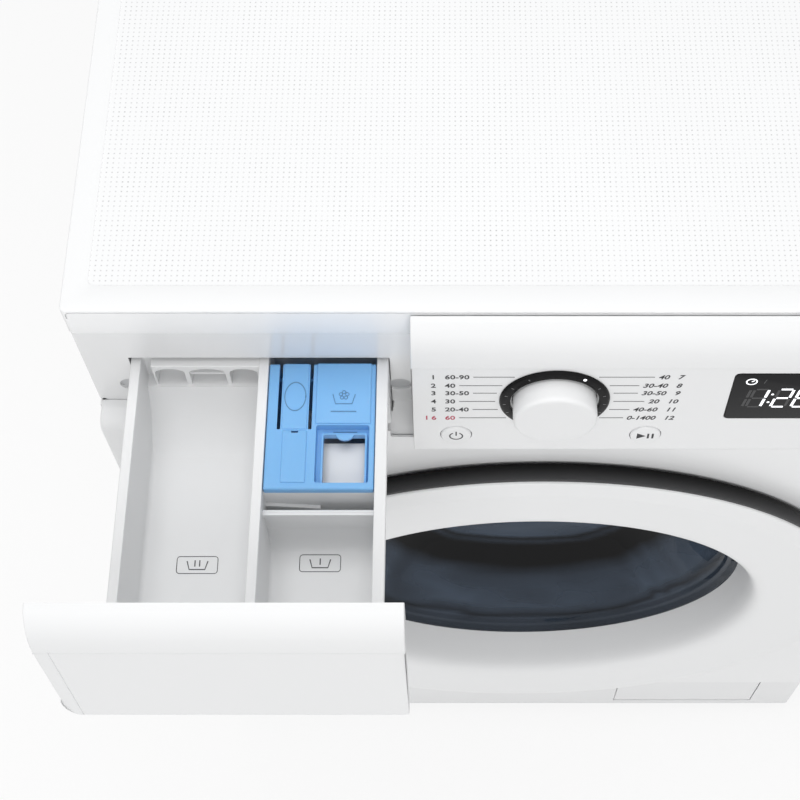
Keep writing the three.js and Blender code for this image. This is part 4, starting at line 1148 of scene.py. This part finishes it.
class WASHER_OT_softener_insert(bpy.types.Operator):
    """The blue insert: a sprung tongue, a raised block with a tub mark, a sunk step and a window"""

    bl_idname = "washer.softener_insert"
    bl_label = "Softener insert"

    def execute(self, context):
        below, above = 760, 790  # past both faces of the shell
        left, right, front, rear = -178.4, -114.8, -84.6, -4  # its inner faces
        button, raised_top = 784.0, 784.5  # tops of the tongue's button and the raised block
        block = build("insert_shell", pillow(-180.4, -112.8, -87, -0.3, 768, 783.4, 1.2, 0.3, 1.6))
        cut(block,
            pillow(left, right, front, rear, below, 781.2, 1.5, 0, 0.5),
            pillow(-173.9, -171.7, -46.5, 3, below, above, 0.6),
            pillow(-154.4, -152.2, -46.5, 3, below, above, 0.6))
        cut(block, box(-182, -111, -88, -84.8, below, 777.8))
        join(block,
             pillow(-150.4, -114.6, -83.4, -42.2, 774.5, 782.6, 1.2),
             pillow(-170.2, -154.8, -82.8, -47.5, 781, 784.3, 1.2, 0, 0.9),
             pillow(-170.9, -155.2, -46.5, -0.6, 781, button, 1.0, 0, 0.7),
             pillow(-150, -115.4, -42.8, -0.5, 781, raised_top, 1.0, 0, 0.9))
        cut(block,
            pillow(-149.2, -116.2, -82.6, -43.6, 776.8, 783.6, 1.8, 0.8, -0.5),
            pillow(-164.7, -160.3, -49.3, -47.5, below, above, 0.5))
        join(block, pillow(-146.2, -117.4, -82.9, -47.4, 774.6, 780.2, 1.6, 0, 0.5))
        cut(block, pillow(-144.8, -118.8, -81.6, -48.7, below, above, 1.4))
        v = np.linspace(0, math.pi, 15)
        lip = np.column_stack([-131.5 + 5.6 * np.cos(v), -48.2 - 4.2 * np.sin(v)])
        wall = (727, 769, 0.4)  # foot, top and rounding
        join(block, prism(lip, 778.2, 780.0, "Z"),
             pillow(left, -176.4, front, rear, *wall),
             pillow(-116.8, right, front, rear, *wall),
             pillow(left, right, -5.6, -3.6, *wall))
        keep(block, "insert", "insert_blue", "insert blue", "softener_insert")
        well = build("insert_well", pillow(-147, -116.5, -83.5, -49, 766.4, 768, 1.5, 0, 0.3))
        keep(well, "insert", "white_plastic", "satin white")

        a = np.linspace(0, 2 * math.pi, 49)
        oval = np.column_stack([-163.1 + 6.6 * np.cos(a), -24 + 9.9 * np.sin(a)])
        u, w = -132.5, -25.8
        tub = [(u - 7, w + 3), (u - 5.2, w - 3.6), (u + 5.2, w - 3.6), (u + 7, w + 3)]
        ribs = [(oval, 0.6, 0.35, button), (tub, 0.6, 0.35, raised_top)]
        for a in np.radians(90 + 72 * np.arange(5)):
            petal = ring_line(u + 2.1 * math.cos(a), w + 2.4 + 2.1 * math.sin(a), 1.1, steps=14)
            ribs.append((petal, 0.4, 0.35, raised_top))
        ribs += [([(u - 8, w - 9), (u + 8, w - 9)], 0.7, 0.35, raised_top),
                 ([(-139, -45.6), (-124, -45.6)], 0.6, 0.3, 776.9)]
        marks = [level(stroke(line, width, height, -0.05), z) for line, width, height, z in ribs]
        # the ribs take the darker blue: painted shade along the raised relief
        keep(build("insert_marks", *marks), "insert", "insert_blue", "blue painted shade")
        return {"FINISHED"}


class WASHER_OT_door(bpy.types.Operator):
    """The door: a white dished ring, its dark rim, the inner frame and the latch"""

    bl_idname = "washer.door"
    bl_label = "Door"

    def execute(self, context):
        rim = rounded([(202, -28.6, 2), (262.6, -31.0, 0.4), (262.2, -33.2, 1.5), (247.2, -36, 1.0),
                       (238, -36, 0)], 6)[6:]
        slope = flowing([(238, -36), (222, -35.9), (208, -35.5), (198, -34.4), (191.5, -32.0),
                         (187.4, -27.8), (184.6, -21), (181.8, -10), (178.6, 3.4)], 6)
        outer = np.vstack([rim[:-1], slope, [(181.6, 3.4), (184.8, -9), (188, -21), (192, -26.6),
                                             (199, -28.6)]])
        ring = build("door_ring", turned(outer, ROUND, AXIS, closed=True))
        keep(ring, "door", "white_plastic", "white plastic", "door_outer_frame", angle=40)

        band = build("door_rim", turned(rounded(
            [(257.4, -31.2, 0.3), (265, -31.2, 1.0), (264.6, -18, 1.0), (257.4, -18, 0.3)], 5),
            ROUND, AXIS, closed=True))
        notch = box(-275, -252, -40, 0, AXIS_Z - 67, AXIS_Z + 67)
        grip = box(240, 275, -31, -10, AXIS_Z - 55, AXIS_Z + 55)
        cut(band, notch, grip)
        keep(band, "door", "charcoal", "rim charcoal painted shade", "door_trim_band")

        plate = rounded([(191.4, -20.6, 0.2), (254, -20.6, 0.5), (254, -31, 0.2), (256.8, -31, 0.2),
                         (256.8, -18, 1.2), (233, -17.2, 6), (214, -18, 6), (191.4, -18, 0.4)], 5)
        clamp = rounded([(187.9, -12, 0.4), (191.8, -19.5, 0.2), (193.4, -19.5, 0.2),
                         (190.5, -13, 2), (190.5, 12, 1.2), (178, 12, 0.8), (178, 9.2, 0.3),
                         (186, 9.2, 0.5), (186, 3, 0.3)], 5)
        inner = build("door_back", turned(plate, ROUND, AXIS, closed=True))
        cut(inner, notch, grip, box(218, 238, -22, -15, AXIS_Z - 12, AXIS_Z + 12))
        holder = build("door_clamp_ring", turned(clamp, ROUND, AXIS, closed=True))
        knuckle = turned([(2.3, -44.2), (4.5, -44.2), (4.5, 44.2), (2.3, 44.2)], 32,
                         (-260, -25.5, AXIS_Z), "Z", closed=True)
        arm = build("door_hinge_arm",
                    knuckle, box(-256.4, -236, -29.5, -22, AXIS_Z - 38, AXIS_Z + 38),
                    box(-240, -236, -29.5, -18.5, AXIS_Z - 38, AXIS_Z + 38))
        keep(inner, "door", "grey_plastic", "grey plastic", "door_inner_frame")
        keep(holder, "door", "grey_plastic", "grey plastic")
        keep(arm, "door", "grey_plastic", "grey plastic")

        hook = soften(copied("latch_tongue", "latch_hook"), 0.6)
        keep(hook, "latch", "white_plastic", "white plastic", "latch_hook")
        return {"FINISHED"}


class WASHER_OT_glass(bpy.types.Operator):
    """The door's glass: a deep tinted bowl with two fine steps near its rim"""

    bl_idname = "washer.glass"
    bl_label = "Door glass"

    def execute(self, context):
        front = flowing([(0, 92), (20, 91.8), (50, 90.6), (78, 88), (98, 84.8), (115, 79.5),
                         (127, 71.5), (136, 62), (144, 52), (151, 42), (158, 30), (164.5, 18)], 6)
        back = flowing([(169, 20), (162, 33), (155, 45), (148, 56), (140, 66), (130, 76),
                        (118, 84), (100, 89.8), (80, 93), (50, 95.7), (20, 96.8), (0, 97)], 6)
        front[0, 0] = back[-1, 0] = 0.0
        rim = rounded([(166.5, 15.5, 0.6), (169.8, 13.2, 0.8), (171, 9.5, 0.8), (174, 8.2, 0.8),
                       (176.8, 3.8, 0.5), (183, 3.8, 0.6), (183, 8.8, 0.6), (176.5, 8.8, 2)], 4)
        profile = np.vstack([front, rim, back])
        bowl = build("door_bowl", turned(profile, ROUND, AXIS))
        keep(bowl, "door", "door_glass", "door glass", "door_glass", angle=60)
        return {"FINISHED"}


class WASHER_OT_gasket(bpy.types.Operator):
    """The gasket: a rubber bellows from the front sheet to the tub's mouth"""

    bl_idname = "washer.gasket"
    bl_label = "Gasket"

    def execute(self, context):
        line = rounded([(194.4, -14.1, 0.3), (205, -14.1, 1), (205, -10.5, 1), (197, -10.5, 1.5),
                        (197, 14, 3), (193, 20, 3), (192, 47.6, 0.8), (188, 47.6, 0.8),
                        (189, 23, 3), (173, 19, 1.5), (173, 16.5, 1), (193, 13, 2),
                        (193, -15.5, 1), (194.4, -15.5, 0.4)], 6)
        bellows = build("gasket_bellows", turned(line, ROUND, AXIS, closed=True))
        smooth(bellows, 50).materials.append(material("grey rubber"))
        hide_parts("door_gasket")
        tuple(shop([0, 14, AXIS_Z]))
        tuple(shop([0, 44, AXIS_Z]))
        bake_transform(bellows)
        return {"FINISHED"}


class WASHER_OT_drum(bpy.types.Operator):
    """The drum: a steel barrel with its holes painted as near black dots of shade, a pressed back
    and three lifters
    """

    bl_idname = "washer.drum"
    bl_label = "Drum"

    def execute(self, context):
        inner = flowing([(0, 362), (40, 362.4), (70, 366), (110, 369.6), (170, 370.6),
                         (225, 370.8)], 5)
        profile = np.vstack([inner, rounded([(238.8, 370, 6), (238.8, 80, 5), (187, 78.3, 1),
                                             (184, 78.6, 0.6), (186, 77, 0.6), (240, 77, 6),
                                             (240, 372, 6), (225, 372.2, 0)], 5)[5:],
                             [(0, 372)]])
        barrel = build("drum_barrel", turned(profile, ROUND, AXIS))
        keep(barrel, "drum", "stainless", "drum steel", "drum", angle=40)
        across, along, up = self.lifter()
        for k in range(3):
            angle = 2 * math.pi * k / 3
            x = across * math.cos(angle) + up * math.sin(angle)
            z = up * math.cos(angle) - across * math.sin(angle)
            paddle = build(f"drum_paddle_{k + 1}",
                           loft(np.stack([x, along, z + AXIS_Z], -1)))
            keep(paddle, "drum", "grey_plastic", "grey plastic", f"drum_lifter_{k + 1}")
        return {"FINISHED"}


    @staticmethod
    def lifter():
        """Across, along and up for a lifter's skin. It stands 53 sin(pi v) off the barrel, fades at
        both ends by sqrt(1 - (2 y - 1)^6), and is 9 + 27 (1 - sin(pi v)^0.6) wide to each side."""
        y, v = np.linspace(0, 1, 25)[:, None], np.linspace(0, 1, 21)[None, :]
        swell = np.clip(1 - (2 * y - 1) ** 6, 0, 1) ** 0.5
        half = (9 + 27 * (1 - np.sin(math.pi * v) ** 0.6)) * (0.35 + 0.65 * swell)
        across = half * np.where(v < 0.5, -1, 1) * np.minimum(np.abs(2 * v - 1) * 2.5, 1)
        barrel, height = 237.6, 53
        up = np.sqrt(barrel ** 2 - across ** 2) - height * np.sin(math.pi * v) * swell
        return across, np.broadcast_to(96 + 256 * y, across.shape), up


class WASHER_OT_rear(bpy.types.Operator):
    """The back: the service cover with its screws, the water inlet, the drain hose and bolt caps"""

    bl_idname = "washer.rear"
    bl_label = "Back of the machine"

    def execute(self, context):
        y, thick = BACK_Y, 1.2
        cover = build("service_cover",
                      pillow(-215, 215, 105, 715, y, y + thick, 14, 0, 0.8, axis="Y"))
        cut(cover, disc(171, y - 3, y + 4, 96, AXIS))
        dish = turned(rounded([(0, y + 9.5, 0), (150, y + 9.5, 8), (172, y + 2, 3), (172, y, 0.5),
                               (149, y + 7.5, 8), (0, y + 7.5, 0)], 5), 96, AXIS)
        join(cover, dish)
        for x in range(-120, 121, 60):
            cut(cover,
                pillow(x - 20, x + 20, 660, 665, y - 4, y + 6, 2.4, axis="Y"))
        keep(cover, "cabinet", "zinc_steel", "zinc steel", "rear_cover")
        heads, slot_shades = [], []
        for x, z in [(s * 207, z) for s in (-1, 1) for z in (125, 260, 404, 550, 695)] + [
                (s * 280, 800) for s in (-1, 1)]:
            on_cover = abs(x) < 210
            head, slot_shade_bars = screw(x, y + thick * on_cover, z, 1.0, 4.2)
            heads.append(head)
            slot_shades += slot_shade_bars
        keep(build("rear_screws", *heads), "cabinet", "zinc_steel", "zinc steel")
        # the slot bars in charcoal: painted shade in the screws' cross slots
        keep(build("rear_screw_slot_shade", *slot_shades), "cabinet", "charcoal", "charcoal")
        caps = build("transit_bolt_caps", *[
            turned(rounded([(0, y, 0), (17, y, 0.5), (17, y + 2.5, 1.5), (7, y + 3.4, 2),
                            (6, y + 6, 1), (0, y + 6, 0)], 4), 40, (x, 0, z))
            for x, z in ((-245, 640), (245, 560), (-245, 230), (245, 230))])
        keep(caps, "cabinet", "grey_plastic", "grey plastic")
        t = np.linspace(0, 9 * 2 * math.pi, 300)
        thread = np.column_stack([190 + 10.6 * np.cos(t), y + 1 + 15 * t / t[-1],
                                  775 + 10.6 * np.sin(t)])
        keep(build("inlet_thread", tube(thread, 0.55, 6)), "cabinet", "white_plastic",
             "white plastic")
        route = flowing([(262, along, 640) for along in range(534, 563, 7)], 12)
        ribs = 11.2 + 1.0 * np.cos(np.linspace(0, 2 * math.pi * 7, len(route)))
        keep(build("drain_spigot", tube(route, ribs, 28)), "cabinet", "grey_plastic",
             "grey plastic")
        return {"FINISHED"}


class WASHER_OT_feet(bpy.types.Operator):
    """Four levelling feet: a rubber pad with a lock nut on a threaded stem"""

    bl_idname = "washer.feet"
    bl_label = "Feet"

    def execute(self, context):
        for body, node, x, y in (("foot_fl", "foot_front_left", -255, 35),
                                 ("foot_fr", "foot_front_right", 255, 35),
                                 ("foot_rl", "foot_rear_left", -255, 505),
                                 ("foot_rr", "foot_rear_right", 255, 505)):
            pad = turned(rounded([(0, 0, 0), (22, 0, 1), (22, 6, 2), (15, 11, 2), (9, 12, 0.5),
                                  (9, 17, 0.5), (5, 17, 0.3), (5, 60, 0.5), (0, 60, 0)], 4), 48,
                         (x, y, 0), "Z")
            t = np.linspace(0, 22 * 2 * math.pi, 352)
            thread = np.column_stack([x + 5 * np.cos(t), y + 5 * np.sin(t), 18 + 40 * t / t[-1]])
            keep(build(f"{node}_pad", pad, tube(thread, 0.45, 5)), body, "black_rubber",
                 "black rubber", node)
        return {"FINISHED"}


class WASHER_OT_inner_parts(bpy.types.Operator):
    """Finishes for the model's own pieces that stay as they are"""

    bl_idname = "washer.inner_parts"
    bl_label = "Inner parts"

    def execute(self, context):
        finishes = {
            "cabinet_body": "enamel", "base_frame": "zinc steel", "control_board": "charcoal",
            "dispenser_housing": "grey plastic", "inlet_valve": "white plastic",
            "fill_hose": "grey rubber", "drain_pump": "grey plastic",
            "pump_filter": "grey plastic", "sump_hose": "black rubber",
            "drain_hose": "grey plastic", "power_gland": "black rubber",
            "hinge_bracket": "zinc steel", "door_lock": "charcoal", "tub_front": "tub plastic",
            "tub_rear": "tub plastic", "dispenser_hose": "black rubber",
            "counterweight_upper": "cast weight", "counterweight_lower": "cast weight",
            "heater": "stainless", "bearing_front": "stainless", "bearing_rear": "stainless",
            "stator": "winding", "drum_spider": "stainless", "motor_rotor": "zinc steel",
            "tub_spring_left": "stainless", "tub_spring_right": "stainless",
            "damper_cylinder_left": "charcoal", "damper_cylinder_right": "charcoal",
            "damper_rod_left": "zinc steel", "damper_rod_right": "zinc steel"}
        for node, finish in finishes.items():
            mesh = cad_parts[node].data
            mesh.materials.clear()
            mesh.materials.append(material(finish))
        left = [n for n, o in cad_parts.items() if not o.hide_render and n not in finishes]
        if left:
            raise RuntimeError(f"nodes without a finish: {left}")
        return {"FINISHED"}


class WASHER_OT_stage(bpy.types.Operator):
    """Pale floor, even light and the camera that looks down at the drawer"""

    bl_idname = "washer.stage"
    bl_label = "Stage"

    def execute(self, context):
        s = settings()
        scene = context.scene
        scene.view_settings.view_transform = "Standard"
        scene.world = scene.world or bpy.data.worlds.new("studio")
        scene.world.use_nodes = True
        tree = scene.world.node_tree
        tree.nodes.clear()
        sky, white = tree.nodes.new("ShaderNodeBackground"), tree.nodes.new("ShaderNodeBackground")
        sky.inputs["Strength"].default_value = s.sky_light
        sky.inputs["Color"].default_value = (1, 1, 1, 1)
        white.inputs["Color"].default_value = (1, 1, 1, 1)
        self.see_through(tree, sky.outputs[0], white.outputs[0],
                         tree.nodes.new("ShaderNodeOutputWorld").inputs["Surface"])

        reach = 8000.0
        floor = build("floor", loft([[(-reach, -reach, 0), (reach, -reach, 0)],
                                     [(-reach, reach, 0), (reach, reach, 0)]],
                                    ring=False, cap=False))
        made = surface("floor", (0.9, 0.9, 0.9), 0.7, 0.98)
        tree = made.node_tree
        shader = tree.nodes["Principled BSDF"]
        glow = tree.nodes.new("ShaderNodeEmission")
        glow.inputs["Strength"].default_value = 1.0
        blend = tree.nodes.new("ShaderNodeMixShader")
        blend.inputs[0].default_value = 0.82
        tree.links.new(shader.outputs[0], blend.inputs[1])
        tree.links.new(glow.outputs[0], blend.inputs[2])
        self.see_through(tree, shader.outputs[0], blend.outputs[0],
                         tree.nodes["Material Output"].inputs["Surface"])
        floor.data.materials.append(made)

        for name, place, size, power in (
                ("overhead", (-200, 240, 3000), 1.4, s.key_light),
                ("front", (0, -2600, 2300), 2.4, s.key_light * 1.64)):
            lamp = bpy.data.lights.new(name, "AREA")
            lamp.energy, lamp.size = power, size
            holder = in_scene(name, lamp)
            holder.location = shop(place)
            holder.visible_glossy = False
            aim = shop([0, 200, 600]) - shop(place)
            holder.rotation_mode = "QUATERNION"
            holder.rotation_quaternion = Vector(aim).to_track_quat("-Z", "Y")

        camera = in_scene("camera", bpy.data.cameras.new("camera"))
        camera.data.lens, camera.data.sensor_width = 70.1, 36.0
        camera.data.shift_x = -0.0625
        camera.data.clip_start = 0.05
        camera.location = shop([-66, -461.6, 1659])
        camera.rotation_euler = (math.radians(26.44), 0, 0)
        scene.camera = camera
        return {"FINISHED"}

    @staticmethod
    def see_through(tree, lit, shown, socket):
        """Shows one shader to the camera, mirrors and glass, and lights the scene by the other."""
        path = tree.nodes.new("ShaderNodeLightPath")
        seen = math_node(tree, "MAXIMUM", path.outputs["Is Camera Ray"],
                         math_node(tree, "MAXIMUM", path.outputs["Is Glossy Ray"],
                                   path.outputs["Is Transmission Ray"]))
        mix = tree.nodes.new("ShaderNodeMixShader")
        tree.links.new(seen, mix.inputs[0])
        tree.links.new(lit, mix.inputs[1])
        tree.links.new(shown, mix.inputs[2])
        tree.links.new(mix.outputs[0], socket)


PIECES = (WASHER_OT_lid, WASHER_OT_cabinet, WASHER_OT_control_panel, WASHER_OT_dial,
          WASHER_OT_buttons, WASHER_OT_printing, WASHER_OT_display, WASHER_OT_drawer_front,
          WASHER_OT_drawer_tray, WASHER_OT_softener_insert, WASHER_OT_door, WASHER_OT_glass,
          WASHER_OT_gasket, WASHER_OT_drum, WASHER_OT_rear, WASHER_OT_feet,
          WASHER_OT_inner_parts, WASHER_OT_stage)


class WASHER_PT_panel(bpy.types.Panel):
    """Lists the settings and the pieces"""

    bl_idname = "WASHER_PT_panel"
    bl_label = "Washing machine"
    bl_space_type = "VIEW_3D"
    bl_region_type = "UI"
    bl_category = "Washer"

    def draw(self, context):
        """One line for each setting and a button for each piece."""
        for name in WasherSettings.__annotations__:
            self.layout.prop(context.scene.washer, name)
        for operator in PIECES:
            self.layout.operator(operator.bl_idname)


def register():
    """Makes the settings, the operators and the panel known."""
    for kind in (WasherSettings, *PIECES, WASHER_PT_panel):
        bpy.utils.register_class(kind)
    bpy.types.Scene.washer = bpy.props.PointerProperty(type=WasherSettings)


def unregister():
    """Takes them out again, in the opposite order."""
    del bpy.types.Scene.washer
    for kind in (WASHER_PT_panel, *reversed(PIECES), WasherSettings):
        bpy.utils.unregister_class(kind)


def main():
    """Builds every piece."""
    register()
    for operator in PIECES:
        group, name = operator.bl_idname.split(".")
        getattr(getattr(bpy.ops, group), name)()
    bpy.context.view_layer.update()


if __name__ == "__main__":
    main()
